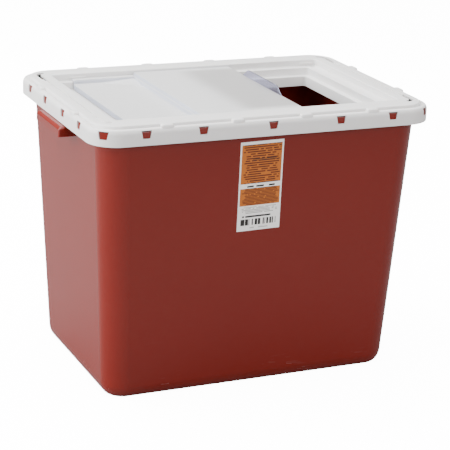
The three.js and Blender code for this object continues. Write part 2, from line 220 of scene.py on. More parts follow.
def rounded_stations(stations, joined):
    """Adds arcs at the stations that have an ease, so that their edges are rounded."""
    found = []
    count = len(stations)
    for index, station in enumerate(stations):
        at_end = not joined and index in (0, count - 1)
        if station.ease <= 0 or at_end:
            found.append(station.values)
            continue
        before, after = stations[index - 1], stations[(index + 1) % count]
        back = min(station.ease / station.reach(before), 0.5)
        ahead = min(station.ease / station.reach(after), 0.5)
        start = between(station.values, before.values, back)
        end = between(station.values, after.values, ahead)
        steps = LARGE_ROUND_STEPS if station.ease > LARGE_ROUND_FROM else SMALL_ROUND_STEPS
        for step in range(steps + 1):
            turn = step / steps * QUARTER_TURN
            found.append(
                station.values
                + (start - station.values) * (1 - math.sin(turn))
                + (end - station.values) * (1 - math.cos(turn))
            )
    return found


def outline(values, steps):
    """The points of one rounded rectangle, counter-clockwise from above."""
    centre, half_x, half_y, radius, z = values
    points = []
    for corner in range(4):
        sign_x = 1 if corner in (0, 3) else -1
        sign_y = 1 if corner < 2 else -1
        for step in range(steps + 1):
            turn = (corner + step / steps) * QUARTER_TURN
            points.append(Vector((
                centre + sign_x * (half_x - radius) + radius * math.cos(turn),
                sign_y * (half_y - radius) + radius * math.sin(turn),
                z,
            )))
    return points


def loft(stations, joined=False):
    """A closed skin through the stations: a ring if joined, or capped at both ends."""
    steps = bpy.context.scene.sharps_stage.corner_steps
    loops = [outline(values, steps) for values in rounded_stations(stations, joined)]
    mesh = bmesh.new()
    rows = [[mesh.verts.new(point) for point in loop] for loop in loops]
    bands = len(rows) if joined else len(rows) - 1
    for band in range(bands):
        low, high = rows[band], rows[(band + 1) % len(rows)]
        for k, vertex in enumerate(low):
            after = (k + 1) % len(low)
            mesh.faces.new((vertex, low[after], high[after], high[k]))
    if not joined:
        mesh.faces.new(list(reversed(rows[0])))
        mesh.faces.new(rows[-1])
    return mesh


def prism(points, low, high, place):
    """A flat polygon given as (across, up) points, pushed from low to high and then placed."""
    mesh = bmesh.new()
    near = [mesh.verts.new(place @ Vector((across, low, up))) for across, up in points]
    far = [mesh.verts.new(place @ Vector((across, high, up))) for across, up in points]
    mesh.faces.new(near)
    mesh.faces.new(list(reversed(far)))
    for k, vertex in enumerate(near):
        after = (k + 1) % len(near)
        mesh.faces.new((vertex, far[k], far[after], near[after]))
    bmesh.ops.recalc_face_normals(mesh, faces=mesh.faces[:])
    return mesh


def as_object(name, mesh):
    """A new object at the origin from a bmesh, with its faces turned outwards."""
    bmesh.ops.remove_doubles(mesh, verts=mesh.verts[:], dist=MERGE_DISTANCE)
    bmesh.ops.recalc_face_normals(mesh, faces=mesh.faces[:])
    data = bpy.data.meshes.new(name)
    mesh.to_mesh(data)
    mesh.free()
    piece = bpy.data.objects.new(name, data)
    bpy.context.scene.collection.objects.link(piece)
    return piece


def take_result(piece):
    """Turns the evaluated piece into its plain mesh and drops its modifiers."""
    bpy.context.view_layer.update()
    graph = bpy.context.evaluated_depsgraph_get()
    data = bpy.data.meshes.new_from_object(piece.evaluated_get(graph))
    piece.modifiers.clear()
    piece.data = data
    data.name = piece.name
    return piece


def combine(piece, tool, operation):
    """Joins or cuts a piece with a tool object, which is used up."""
    modifier = piece.modifiers.new("combine", "BOOLEAN")
    modifier.object = tool
    modifier.operation = operation
    modifier.solver = "EXACT"
    take_result(piece)
    if not piece.data.polygons:
        raise RuntimeError(f"{operation} with {tool.name} left nothing of {piece.name}")
    bpy.data.objects.remove(tool)
    return piece


def finish_surface(piece, sharp_angle=SHARP_ANGLE):
    """Smooth shading with crisp edges, weighted so that flat faces stay flat."""
    piece.data.shade_smooth()
    piece.data.set_sharp_from_angle(angle=math.radians(sharp_angle))
    modifier = piece.modifiers.new("even normals", "WEIGHTED_NORMAL")
    modifier.keep_sharp = True
    modifier.weight = FACE_WEIGHT
    return take_result(piece)


def hand_over(piece, slot, material, body, *nodes):
    """Gives a finished piece its material and its body, and hides the CAD nodes it stands for."""
    piece.data.materials.clear()
    piece.data.materials.append(material)
    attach(piece, body)
    if nodes:
        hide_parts(*nodes)
    return piece


# ------------------------------------------------------------------ geometry nodes

# Latches sit at these shares of the lid's length, these places along its sides, and one
# turned this far round each corner.
LATCH_SHARES = (-0.3609, -0.2014, 0.0, 0.2014, 0.3609)
SIDE_LATCHES = (-90.8 * MM, -32.7 * MM, 32.7 * MM, 90.8 * MM)
CORNER_LATCH_TURN = math.radians(48)

class Tree:
    """Short calls for building a geometry or shader node tree."""

    def __init__(self, tree):
        self.tree = tree

    def socket(self, name, kind, way="INPUT", value=None):
        made = self.tree.interface.new_socket(name=name, in_out=way, socket_type=kind)
        if value is not None:
            made.default_value = value
        return made

    def node(self, kind, inputs=None, **settings):
        made = self.tree.nodes.new(kind)
        for name, value in settings.items():
            setattr(made, name, value)
        for key, value in (inputs or {}).items():
            if isinstance(value, bpy.types.NodeSocket):
                self.tree.links.new(value, made.inputs[key])
            else:
                made.inputs[key].default_value = value
        return made

    def numbers(self, inputs, outputs=()):
        """Adds number inputs with their defaults, and number outputs, and gives the inputs."""
        for name, value in inputs.items():
            kind = "NodeSocketInt" if isinstance(value, int) else "NodeSocketFloat"
            self.socket(name, kind, value=value)
        for name in outputs:
            self.socket(name, "NodeSocketFloat", "OUTPUT")
        return self.node("NodeGroupInput").outputs

    def shapes(self):
        """Adds the sockets that every geometry tree has."""
        self.socket("Geometry", "NodeSocketGeometry", "OUTPUT")
        self.socket("Geometry", "NodeSocketGeometry")
        self.socket("Material", "NodeSocketMaterial")

    def end_shapes(self, geometry, material):
        """Ends a geometry tree with real meshes, and no instances, in the given material."""
        real = self.node("GeometryNodeRealizeInstances", {0: geometry})
        inputs = {"Geometry": real.outputs[0], "Material": material}
        painted = self.node("GeometryNodeSetMaterial", inputs)
        self.node("NodeGroupOutput", {0: painted.outputs[0]})

    def noise(self, vector, scale, detail=2.0):
        inputs = {"Vector": vector, "Scale": scale, "Detail": detail}
        return self.node("ShaderNodeTexNoise", inputs).outputs[0]

    def stretched(self, vector, scale, turn=(0.0, 0.0, 0.0)):
        inputs = {"Vector": vector, "Rotation": turn, "Scale": scale}
        return self.node("ShaderNodeMapping", inputs).outputs[0]

    def split(self, vector):
        return self.node("ShaderNodeSeparateXYZ", {0: vector}).outputs

    def place(self):
        """The point on the surface, in the object's own space."""
        return self.node("ShaderNodeTexCoord").outputs["Object"]

    def math(self, operation, *values, clamp=False):
        inputs = dict(enumerate(values))
        return self.node("ShaderNodeMath", inputs, operation=operation, use_clamp=clamp).outputs[0]

    def mix_number(self, amount, first, second):
        inputs = {0: amount, 2: first, 3: second}
        return self.node("ShaderNodeMix", inputs, data_type="FLOAT").outputs[0]

    def mix_colour(self, amount, first, second):
        inputs = {0: amount, 6: first, 7: second}
        return self.node("ShaderNodeMix", inputs, data_type="RGBA").outputs[2]


def built_once(name, kind):
    """Keeps a builder's node group under its name, so that all who need it share it."""
    def keep(fill):
        def group():
            if name not in bpy.data.node_groups:
                fill(Tree(bpy.data.node_groups.new(name, kind)))
            return bpy.data.node_groups[name]
        return group
    return keep


@built_once("Blocks at latch places", "GeometryNodeTree")
def blocks_tree(build):
    """One tapered block at each point, turned to face the way its point says."""
    build.shapes()
    given = build.numbers({
        "Depth": 4 * MM, "Width": 10 * MM, "Height": 10 * MM,
        "Foot Width Share": 1.0, "Top Depth Share": 1.0, "Rounding": 0, "Crease": 0.72,
    })
    size = build.node(
        "ShaderNodeCombineXYZ", {0: given["Depth"], 1: given["Width"], 2: given["Height"]}
    )
    cube = build.node("GeometryNodeMeshCube", {"Size": size.outputs[0]})
    place = build.node("GeometryNodeInputPosition")
    parts = build.split(place.outputs[0])
    risen = build.math("ADD", build.math("DIVIDE", parts[2], given["Height"]), 0.5)
    across = build.mix_number(risen, given["Foot Width Share"], 1.0)
    outward = build.mix_number(risen, 1.0, given["Top Depth Share"])
    is_outer = build.math("GREATER_THAN", parts[0], 0.0)
    deep = build.mix_number(is_outer, 1.0, outward)
    tapered = build.node("ShaderNodeCombineXYZ", {
        0: build.math("MULTIPLY", parts[0], deep),
        1: build.math("MULTIPLY", parts[1], across),
        2: parts[2],
    })
    shaped = build.node(
        "GeometryNodeSetPosition", {"Geometry": cube.outputs[0], "Position": tapered.outputs[0]}
    )
    softened = build.node("GeometryNodeSubdivisionSurface", {
        "Mesh": shaped.outputs[0], "Level": given["Rounding"], "Edge Crease": given["Crease"],
    })
    facing = build.node("GeometryNodeInputNamedAttribute", {"Name": "facing"}, data_type="FLOAT")
    turn = build.node("ShaderNodeCombineXYZ", {2: facing.outputs[0]})
    copies = build.node("GeometryNodeInstanceOnPoints", {
        "Points": given["Geometry"], "Instance": softened.outputs[0], "Rotation": turn.outputs[0],
    })
    build.end_shapes(copies.outputs[0], given["Material"])


@built_once("Strip round the rim", "GeometryNodeTree")
def gasket_tree(build):
    """A rounded strip swept round a filleted rectangle."""
    build.shapes()
    given = build.numbers({
        "Length": 0.4, "Width": 0.27, "Corner": 0.025, "Level": 0.34,
        "Strip Width": 4.8 * MM, "Strip Height": 4.4 * MM, "Strip Round": 1.2 * MM,
    })

    def rectangle(width, height, radius, steps):
        sides = build.node(
            "GeometryNodeCurvePrimitiveQuadrilateral", {"Width": width, "Height": height}
        )
        inputs = {"Curve": sides.outputs[0], "Radius": radius, "Count": steps}
        return build.node("GeometryNodeFilletCurve", inputs, mode="POLY").outputs[0]

    rounded = rectangle(given["Length"], given["Width"], given["Corner"], 16)
    lift = build.node("ShaderNodeCombineXYZ", {2: given["Level"]})
    raised = build.node(
        "GeometryNodeSetPosition", {"Geometry": rounded, "Offset": lift.outputs[0]}
    )
    soft = rectangle(given["Strip Width"], given["Strip Height"], given["Strip Round"], 3)
    strip = build.node(
        "GeometryNodeCurveToMesh", {"Curve": raised.outputs[0], "Profile Curve": soft}
    )
    build.end_shapes(strip.outputs[0], given["Material"])


def grown(name, source, tree, values, material=None):
    """Runs a geometry node tree on a source mesh and keeps the plain result."""
    piece = bpy.data.objects.new(name, source)
    bpy.context.scene.collection.objects.link(piece)
    modifier = piece.modifiers.new(name, "NODES")
    modifier.node_group = tree
    keys = {item.name: item.identifier for item in tree.interface.items_tree}
    for label, value in values.items():
        modifier[keys[label]] = value
    if material:
        modifier[keys["Material"]] = material
    piece.update_tag()
    return take_result(piece)


def place_points(name, places):
    """A mesh of loose points, each with the angle that its block faces."""
    data = bpy.data.meshes.new(name)
    data.from_pydata([place for place, _angle in places], [], [])
    facing = data.attributes.new("facing", "FLOAT", "POINT")
    facing.data.foreach_set("value", [angle for _place, angle in places])
    return data


def wall_places(half_x, half_y, xs, ys, z):
    """Places along the four walls of a rectangle, each with the angle that faces outwards."""
    places = []
    for side in (-1, 1):
        places += [(Vector((x, side * half_y, z)), side * QUARTER_TURN) for x in xs]
        places += [(Vector((side * half_x, y, z)), 0.0 if side > 0 else math.pi) for y in ys]
    return places


def latch_places(half_x, half_y, radius, inset, z):
    """Every latch of the skirt: five along each front, four along each side, one per corner."""
    xs = [part * 2 * LID_HIGH.x for part in LATCH_SHARES]
    places = wall_places(half_x - inset, half_y - inset, xs, SIDE_LATCHES, z)
    for sign_x in (-1, 1):
        for sign_y in (-1, 1):
            out = Vector((
                sign_x * math.cos(CORNER_LATCH_TURN), sign_y * math.sin(CORNER_LATCH_TURN), 0.0
            ))
            centre = Vector((sign_x * (half_x - radius), sign_y * (half_y - radius), z))
            places.append((centre + out * (radius - inset), math.atan2(out.y, out.x)))
    return places


# ------------------------------------------------------------------ shader groups

GRAIN_WEIGHT, WAVE_WEIGHT = 0.25, 8.0
WIPE_STRETCH = (30.0, 30.0, 7.0)
WIPE_SCALE, WIPE_DETAIL, WIPE_GRAIN, WIPE_MIDDLE = 1.6, 6.0, 0.3, 0.65
FINE_DETAIL = 3.0
SCRATCH_STRETCH = (40.0, 900.0, 260.0)
SCRATCH_TURNS = (0.35, -0.6, 1.2)
SCRATCH_RARITY, SCRATCH_LEAN = 0.685, 0.7
PATCH_SCALE, PATCH_MIDDLE, PATCH_CONTRAST = 22.0, 0.5, 4.0
DASH_HALF_HEIGHT = 0.27
DASH_INDENT = 0.16
DASH_MARGINS = (0.06, 0.97)

@built_once("Moulded grain", "ShaderNodeTree")
def grain_group(build):
    """Fine moulded grain with slow waves: a height, a roughness shift and a tone shift."""
    given = build.numbers(
        {"Grain Size": 1800.0, "Wave Size": 14.0}, ("Height", "Roughness Shift", "Tone")
    )
    place = build.place()
    fine = build.noise(place, given["Grain Size"], FINE_DETAIL)
    slow = build.noise(place, given["Wave Size"])
    wipe = build.noise(build.stretched(place, WIPE_STRETCH), WIPE_SCALE, WIPE_DETAIL)
    grain = build.math("MULTIPLY", fine, GRAIN_WEIGHT)
    height = build.math("ADD", grain, build.math("MULTIPLY", slow, WAVE_WEIGHT))
    mixed = build.math("ADD", wipe, build.math("MULTIPLY", fine, WIPE_GRAIN))
    shift = build.math("SUBTRACT", mixed, WIPE_MIDDLE)
    build.node("NodeGroupOutput", {"Height": height, "Roughness Shift": shift, "Tone": slow})


@built_once("Handling scuffs", "ShaderNodeTree")
def scuff_group(build):
    """Short fine scratches in patches, strongest near a given height."""
    given = build.numbers({"Level": 0.0, "Spread": 0.03, "Base Amount": 0.15}, ("Mask",))
    place = build.place()
    away = build.math("ABSOLUTE", build.math("SUBTRACT", build.split(place)[2], given["Level"]))
    near = build.math("SUBTRACT", 1.0, build.math("DIVIDE", away, given["Spread"]), clamp=True)
    strokes = []
    for turn in SCRATCH_TURNS:
        laid = build.stretched(place, SCRATCH_STRETCH, (turn, turn * SCRATCH_LEAN, turn))
        strokes.append(build.math("GREATER_THAN", build.noise(laid, 1.0), SCRATCH_RARITY))
    all_strokes = build.math("MAXIMUM", build.math("MAXIMUM", *strokes[:2]), strokes[2])
    where = build.math("SUBTRACT", build.noise(place, PATCH_SCALE, FINE_DETAIL), PATCH_MIDDLE)
    patch = build.math("MULTIPLY", where, PATCH_CONTRAST, clamp=True)
    amount = build.math("ADD", near, given["Base Amount"], clamp=True)
    mask = build.math("MULTIPLY", build.math("MULTIPLY", all_strokes, patch), amount, clamp=True)
    build.node("NodeGroupOutput", {"Mask": mask})


@built_once("Printed panel", "ShaderNodeTree")
def panel_group(build):
    """A printed rectangle on the label: one inside its edges and nothing outside."""
    names = ("U", "V", "Left", "Right", "Bottom", "Top")
    given = build.numbers(dict.fromkeys(names, 0.0), ("Mask",))
    tests = (
        build.math("GREATER_THAN", given["U"], given["Left"]),
        build.math("LESS_THAN", given["U"], given["Right"]),
        build.math("GREATER_THAN", given["V"], given["Bottom"]),
        build.math("LESS_THAN", given["V"], given["Top"]),
    )
    wide = build.math("MULTIPLY", tests[0], tests[1])
    tall = build.math("MULTIPLY", tests[2], tests[3])
    build.node("NodeGroupOutput", {"Mask": build.math("MULTIPLY", wide, tall)})


@built_once("Greeked lines", "ShaderNodeTree")
def lines_group(build):
    """Rows of short dashes that stand for print and spell nothing."""
    names = ("U", "V", "Rows", "Dashes", "Fill", "Seed")
    given = build.numbers(dict.fromkeys(names, 0.0), ("Mask",))
    u, seed = given["U"], given["Seed"]
    along = build.math("MULTIPLY", given["V"], given["Rows"])
    row = build.math("FLOOR", along)
    within = build.math("ABSOLUTE", build.math("SUBTRACT", build.math("FRACT", along), 0.5))
    on_row = build.math("LESS_THAN", within, DASH_HALF_HEIGHT)
    row_key = {"W": build.math("ADD", row, seed)}
    shift = build.node("ShaderNodeTexWhiteNoise", row_key, noise_dimensions="1D").outputs[0]
    cell = build.math("FLOOR", build.math("MULTIPLY", build.math("ADD", u, shift), given["Dashes"]))
    key = build.node("ShaderNodeCombineXYZ", {0: cell, 1: row, 2: seed})
    chance = build.node("ShaderNodeTexWhiteNoise", {"Vector": key.outputs[0]}).outputs[0]
    inked = build.math("LESS_THAN", chance, given["Fill"])
    start = build.math("MULTIPLY", shift, DASH_INDENT)
    margin = build.math("GREATER_THAN", u, build.math("ADD", start, DASH_MARGINS[0]))
    end = build.math("LESS_THAN", u, build.math("SUBTRACT", DASH_MARGINS[1], start))
    on_line = build.math("MULTIPLY", inked, on_row)
    kept = build.math("MULTIPLY", on_line, build.math("MULTIPLY", margin, end))
    build.node("NodeGroupOutput", {"Mask": kept})


# ------------------------------------------------------------------ materials

PLASTIC_IOR = 1.49
GRAIN_DEPTH = 0.1 * MM
RUB_SHARE, RUB_PALE = 0.55, 0.32
RUB_DULLING = 0.2
DOOR_CLEARNESS, DOOR_IOR = 0.48, 1.3
DRAG_STRETCH = (14.0, 260.0, 14.0)
DRAG_TONE = (0.78, 0.76, 0.72, 1.0)
DRAG_MIDDLE, DRAG_STRENGTH = 0.45, 0.5
# Painted shade where the door hangs over the open chute, for the dark chute seen through it:
# a soft start along its length, soft sides, and the strength and tone of the painted shade.
PAINTED_SHADE_START = (-30 * MM, 4 * MM)
PAINTED_SHADE_SIDES = (106 * MM, 92 * MM)
PAINTED_SHADE_STRENGTH = 0.62
PAINTED_SHADE_TONE = (0.50, 0.485, 0.47, 1.0)
EDGE_TINT = 0.9
TAB_TONE = (0.55, 0.56, 0.74, 1.0)
TAB_CLEARNESS, TAB_IOR = 0.92, 1.25
RUBBER_TONE = (0.035, 0.035, 0.037, 1.0)

# The label's print. An area is its left, right, bottom and top edge as shares of the
# label. Lines are rows and dashes over the whole label, how full they are, and a seed.
UPPER_PANEL = (0.035, 0.965, 0.533, 0.967)
LOWER_PANEL = (0.035, 0.965, 0.285, 0.48)
UPPER_LINES = (40.0, 26.0, 0.84, 3.0)
LOWER_LINES = (62.0, 30.0, 0.95, 7.0)
HEADING = ((0.30, 0.92, 0.785, 0.812), (74.0, 16.0, 0.98, 11.0))
STRIP = ((0.10, 0.93, 0.489, 0.524), (29.0, 17.0, 0.74, 5.0))
SMALL_PRINT = ((0.08, 0.92, 0.195, 0.268), (62.0, 24.0, 0.86, 13.0))
NUMBER_ROW = ((0.08, 0.78, 0.150, 0.186), (28.0, 34.0, 0.86, 17.0))
FOOT_PRINT = ((0.30, 0.72, 0.026, 0.046), (50.0, 20.0, 0.7, 19.0))
BAR_AREA = (0.08, 0.92, 0.062, 0.132)
BAR_COUNT, BAR_GAPS = 70.0, 0.36
PRINT_BLACK = (0.01, 0.009, 0.008, 1.0)
FINE_PRINT_SHARE = 0.6
PANEL_DRIFT, PANEL_DRIFT_SCALE = 0.85, 9.0
PAPER_ROUGHNESS, PANEL_ROUGHNESS = 0.5, 0.38
FIBRE_ROUGHNESS, FIBRE_DEPTH, FIBRE_STRENGTH = 0.12, 0.05 * MM, 0.15
FIBRE_SCALE, FIBRE_DETAIL = 160.0, 4.0


def shaded(tone, share_kept, added=0.0):
    """A colour with its channels scaled, lifted and kept at one or less."""
    return [min(value * share_kept + added, 1.0) for value in tone[:3]] + [1.0]


def new_material(name):
    """A material with its Principled BSDF, and the short calls to build the rest."""
    material = bpy.data.materials.new(name)
    material.use_nodes = True
    build = Tree(material.node_tree)
    shader = material.node_tree.nodes["Principled BSDF"]
    return material, build, shader


def link(build, output, socket):
    build.tree.links.new(output, socket)


def moulded_plastic(name, base, grain, scuffs, looks):
    """Moulded plastic: slow tone drift, fine grain, wipe marks and light scuffs."""
    material, build, shader = new_material(name)
    surface = build.node("ShaderNodeGroup", grain, node_tree=grain_group())
    rubs = build.node("ShaderNodeGroup", scuffs, node_tree=scuff_group())
    low, high = shaded(base, 1 - looks["drift"]), shaded(base, 1 + looks["drift"])
    toned = build.mix_colour(surface.outputs["Tone"], low, high)
    rubbed = build.math("MULTIPLY", rubs.outputs[0], looks["rub"])
    coloured = build.mix_colour(rubbed, toned, shaded(base, RUB_SHARE, RUB_PALE))
    shift = build.math("MULTIPLY", surface.outputs["Roughness Shift"], looks["vary"])
    varied = build.math("ADD", looks["rough"], shift)
    dulling = build.math("MULTIPLY", rubs.outputs[0], RUB_DULLING)
    bump = build.node("ShaderNodeBump", {
        "Strength": looks["bump"], "Distance": GRAIN_DEPTH, "Height": surface.outputs["Height"],
    })
    link(build, coloured, shader.inputs["Base Color"])
    link(build, build.math("ADD", varied, dulling, clamp=True), shader.inputs["Roughness"])
    link(build, bump.outputs[0], shader.inputs["Normal"])
    shader.inputs["IOR"].default_value = PLASTIC_IOR
    return material, shader


def soften(shader, weight, radius):
    """Lets a little light under the surface, as translucent plastic does."""
    shader.inputs["Subsurface Weight"].default_value = weight
    shader.inputs["Subsurface Radius"].default_value = radius


def clear(shader, share_through, ior):
    shader.inputs["Transmission Weight"].default_value = share_through
    shader.inputs["IOR"].default_value = ior


def tub_material():
    settings = bpy.context.scene.sharps_tub
    material, shader = moulded_plastic(
        "red polypropylene", settings.colour,
        {"Grain Size": 1500.0, "Wave Size": 9.0},
        {"Level": 0.004, "Spread": 0.03, "Base Amount": 0.06},
        {"rough": 0.2, "drift": 0.04, "rub": 0.10, "vary": 0.05, "bump": 0.12},
    )
    soften(shader, 0.06, (6 * MM, 1.2 * MM, 0.8 * MM))
    return material


def lid_material():
    settings = bpy.context.scene.sharps_lid
    material, shader = moulded_plastic(
        "white polypropylene", settings.colour,
        {"Grain Size": 1800.0, "Wave Size": 20.0},
        {"Level": settings.ring_top, "Spread": 0.006, "Base Amount": 0.1},
        {"rough": 0.36, "drift": 0.02, "rub": 0.12, "vary": 0.14, "bump": 0.3},
    )
    soften(shader, 0.25, (4 * MM, 3.4 * MM, 3 * MM))
    return material


def door_material():
    """Frosted plastic: half see-through, bluer where it turns down, with faint drag marks and painted
    shade over the open chute.
    """
    settings = bpy.context.scene.sharps_door
    material, shader = moulded_plastic(
        "frosted polypropylene", settings.colour,
        {"Grain Size": 1300.0, "Wave Size": 12.0},
        {"Level": settings.plate_top, "Spread": 0.004, "Base Amount": 0.1},
        {"rough": 0.34, "drift": 0.015, "rub": 0.12, "vary": 0.16, "bump": 0.3},
    )
    build = Tree(material.node_tree)
    plain = shader.inputs["Base Color"].links[0].from_socket
    slope = build.split(build.node("ShaderNodeNewGeometry").outputs["Normal"])[2]
    turned = build.math("SUBTRACT", 1.0, build.math("ABSOLUTE", slope), clamp=True)
    place = build.place()
    drag = build.noise(build.stretched(place, DRAG_STRETCH), 1.0, FINE_DETAIL)
    risen = build.math("SUBTRACT", drag, DRAG_MIDDLE)
    dragged = build.math("MULTIPLY", risen, DRAG_STRENGTH, clamp=True)
    marked = build.mix_colour(dragged, plain, DRAG_TONE)
    x, y, _z = build.split(place)

    def fade(value, limits):
        inputs = {"Value": value, "From Min": limits[0], "From Max": limits[1]}
        made = build.node("ShaderNodeMapRange", inputs, interpolation_type="SMOOTHSTEP")
        return made.outputs[0]

    # Painted shade: darkens the door where it hangs over the open chute, for the dark chute seen
    # through it.
    over_chute = build.math(
        "MULTIPLY", fade(x, PAINTED_SHADE_START), fade(build.math("ABSOLUTE", y), PAINTED_SHADE_SIDES)
    )
    with_painted_shade = build.mix_colour(build.math("MULTIPLY", over_chute, PAINTED_SHADE_STRENGTH), marked, PAINTED_SHADE_TONE)
    tinted = build.mix_colour(build.math("MULTIPLY", turned, EDGE_TINT), with_painted_shade, settings.edge)
    link(build, tinted, shader.inputs["Base Color"])
    clear(shader, DOOR_CLEARNESS, DOOR_IOR)
    return material


def tab_material():
    """The thin clear finger tab, bluer and clearer than the door it stands on."""
    material, shader = moulded_plastic(
        "clear polypropylene", TAB_TONE,
        {"Grain Size": 1300.0, "Wave Size": 12.0},
        {"Level": DOOR_HIGH.z, "Spread": 0.004, "Base Amount": 0.1},
        {"rough": 0.12, "drift": 0.02, "rub": 0.12, "vary": 0.1, "bump": 0.15},
    )
    clear(shader, TAB_CLEARNESS, TAB_IOR)
    return material


def gasket_material():
    material, _shader = moulded_plastic(
        "gasket rubber", RUBBER_TONE,
        {"Grain Size": 2600.0, "Wave Size": 30.0},
        {"Level": GASKET_HIGH.z, "Spread": 0.002, "Base Amount": 0.05},
        {"rough": 0.7, "drift": 0.1, "rub": 0.1, "vary": 0.1, "bump": 0.5},
    )
    return material


def label_material():
    """A printed film: two panels of greeked lines, a bar strip and a row of bars."""
    settings = bpy.context.scene.sharps_label
    material, build, shader = new_material("label film")
    spot = build.node("ShaderNodeUVMap", uv_map="print").outputs[0]
    u, v, _w = build.split(spot)

    def printed_mask(group, names, values):
        inputs = {"U": u, "V": v, **dict(zip(names, values))}
        return build.node("ShaderNodeGroup", inputs, node_tree=group).outputs[0]

    def panel(area):
        return printed_mask(panel_group(), ("Left", "Right", "Bottom", "Top"), area)

    def lines(values):
        return printed_mask(lines_group(), ("Rows", "Dashes", "Fill", "Seed"), values)

    def text(area, values):
        return build.math("MULTIPLY", panel(area), lines(values))

    def either(first, second):
        return build.math("MAXIMUM", first, second)

    upper, lower = panel(UPPER_PANEL), panel(LOWER_PANEL)
    panels = either(upper, lower)
    orange = build.mix_colour(
        build.noise(spot, PANEL_DRIFT_SCALE), shaded(settings.panel, PANEL_DRIFT), settings.panel
    )
    printed = build.mix_colour(panels, settings.paper, orange)
    words = build.math("MULTIPLY", upper, lines(UPPER_LINES))
    fine = build.math("MULTIPLY", lower, lines(LOWER_LINES))
    printed = build.mix_colour(either(words, fine), printed, settings.ink)
    cell = build.math("FLOOR", build.math("MULTIPLY", u, BAR_COUNT))
    bars = build.node("ShaderNodeTexWhiteNoise", {"W": cell}, noise_dimensions="1D").outputs[0]
    code = build.math("MULTIPLY", panel(BAR_AREA), build.math("GREATER_THAN", bars, BAR_GAPS))
    grey = build.math("MULTIPLY", either(text(*SMALL_PRINT), text(*FOOT_PRINT)), FINE_PRINT_SHARE)
    dark = either(either(text(*HEADING), text(*STRIP)), either(text(*NUMBER_ROW), code))
    printed = build.mix_colour(either(grey, dark), printed, PRINT_BLACK)
    link(build, printed, shader.inputs["Base Color"])
    fibres = build.noise(spot, FIBRE_SCALE, FIBRE_DETAIL)
    gloss = build.mix_number(panels, PAPER_ROUGHNESS, PANEL_ROUGHNESS)
    rough = build.math("ADD", gloss, build.math("MULTIPLY", fibres, FIBRE_ROUGHNESS))
    link(build, rough, shader.inputs["Roughness"])
    bump = build.node("ShaderNodeBump", {
        "Strength": FIBRE_STRENGTH, "Distance": FIBRE_DEPTH, "Height": fibres,
    })
    link(build, bump.outputs[0], shader.inputs["Normal"])
    return material


# ------------------------------------------------------------------ tub

FLAT_CAP = 22 * MM
LEAST_CORNER = 2 * MM
UNDER_RIM_ROUND = 1.5 * MM
RIM_INNER_ROUND = 1.0 * MM
RIM_FOOT_ROUND = 0.7 * MM
RIM_EDGE_ROUND = 0.9 * MM
RIM_TOP_ROUND = 1.2 * MM
GRIP_ROOT_SHARE = 0.55
GRIP_CORNER, GRIP_LEAST_CORNER = 2.2 * MM, 0.8 * MM
GRIP_TOP_ROUND, GRIP_FOOT_ROUND, GRIP_ROOF_ROUND = 2.4 * MM, 0.7 * MM, 1.6 * MM
GRIP_CAP, GRIP_ROOF_CAP = 7 * MM, 8 * MM
GRIP_BACK, GRIP_ROOF_BACK = 1.1 * MM, 4 * MM
GRIP_SLOPE_FROM = 0.6 * MM
LATCH_DEPTH, LATCH_REACH = 3.4 * MM, 0.5 * MM
LATCH_PLAY, LATCH_LIFT = 1.6 * MM, 0.3 * MM

def tub_section(tub, z, inset, ease=0.0):
    """The tub's outside, or its inside at an inset, at one height."""
    grown_by = tub.draft * z - inset
    half_x = tub.base_half_x + grown_by
    radius = max(tub.base_radius + tub.corner_growth * z - inset, LEAST_CORNER)
    return Station(-half_x, half_x, tub.base_half_y + grown_by, radius, z, ease)


def rim_station(tub, inset, z, ease):
    half_x = tub.rim_half_x - inset
    return Station(-half_x, half_x, tub.rim_half_y - inset, tub.rim_radius - inset, z, ease)


def tub_shell(tub):
    """The tub as one skin: up the outside, round the rim and down the inside."""
    under = tub.rim_top - tub.wall
    low = tub.rim_top - tub.rim_drop
    return loft([
        tub_section(tub, 0.0, FLAT_CAP),
        tub_section(tub, 0.0, 0.0, tub.base_fillet),
        tub_section(tub, under, 0.0, UNDER_RIM_ROUND),
        rim_station(tub, tub.wall, under, RIM_INNER_ROUND),
        rim_station(tub, tub.wall, low, RIM_FOOT_ROUND),
        rim_station(tub, 0.0, low, RIM_EDGE_ROUND),
        rim_station(tub, 0.0, tub.rim_top, RIM_TOP_ROUND),
        tub_section(tub, tub.rim_top, tub.wall, RIM_TOP_ROUND),
        tub_section(tub, tub.floor, tub.wall, tub.base_fillet - tub.wall),
        tub_section(tub, tub.floor, FLAT_CAP),
    ])


def grip_ledge(tub, side):
    """A capped ledge on one short wall, hollow underneath for the fingers."""
    reach = BIN_HIGH.x
    wall_x = tub.base_half_x + tub.draft * tub.grip_low
    root_x = wall_x - GRIP_ROOT_SHARE * tub.wall
    roof = tub.grip_lip - tub.wall
    slope = (tub.grip_root - tub.grip_lip) / (reach - LID_HIGH.x)

    def at(inset, z, ease=0.0, back=0.0):
        radius = max(GRIP_CORNER - inset, GRIP_LEAST_CORNER)
        return Station(root_x + back, reach - inset, tub.grip_half - inset, radius, z, ease)

    mesh = loft([
        at(GRIP_CAP, tub.grip_lip),
        at(0.0, tub.grip_lip, GRIP_TOP_ROUND),
        at(0.0, tub.grip_low, GRIP_FOOT_ROUND),
        at(tub.wall, tub.grip_low, GRIP_FOOT_ROUND, GRIP_BACK),
        at(tub.wall, roof, GRIP_ROOF_ROUND, GRIP_BACK),
        at(GRIP_ROOF_CAP, roof, 0.0, GRIP_ROOF_BACK),
    ])
    for vertex in mesh.verts:
        if vertex.co.z > roof + GRIP_SLOPE_FROM:
            rise = (vertex.co.z - roof) / (tub.grip_lip - roof)
            vertex.co.z += min((reach - vertex.co.x) * slope, tub.grip_root - tub.grip_lip) * rise
        vertex.co.x *= side
    return as_object("grip", mesh)


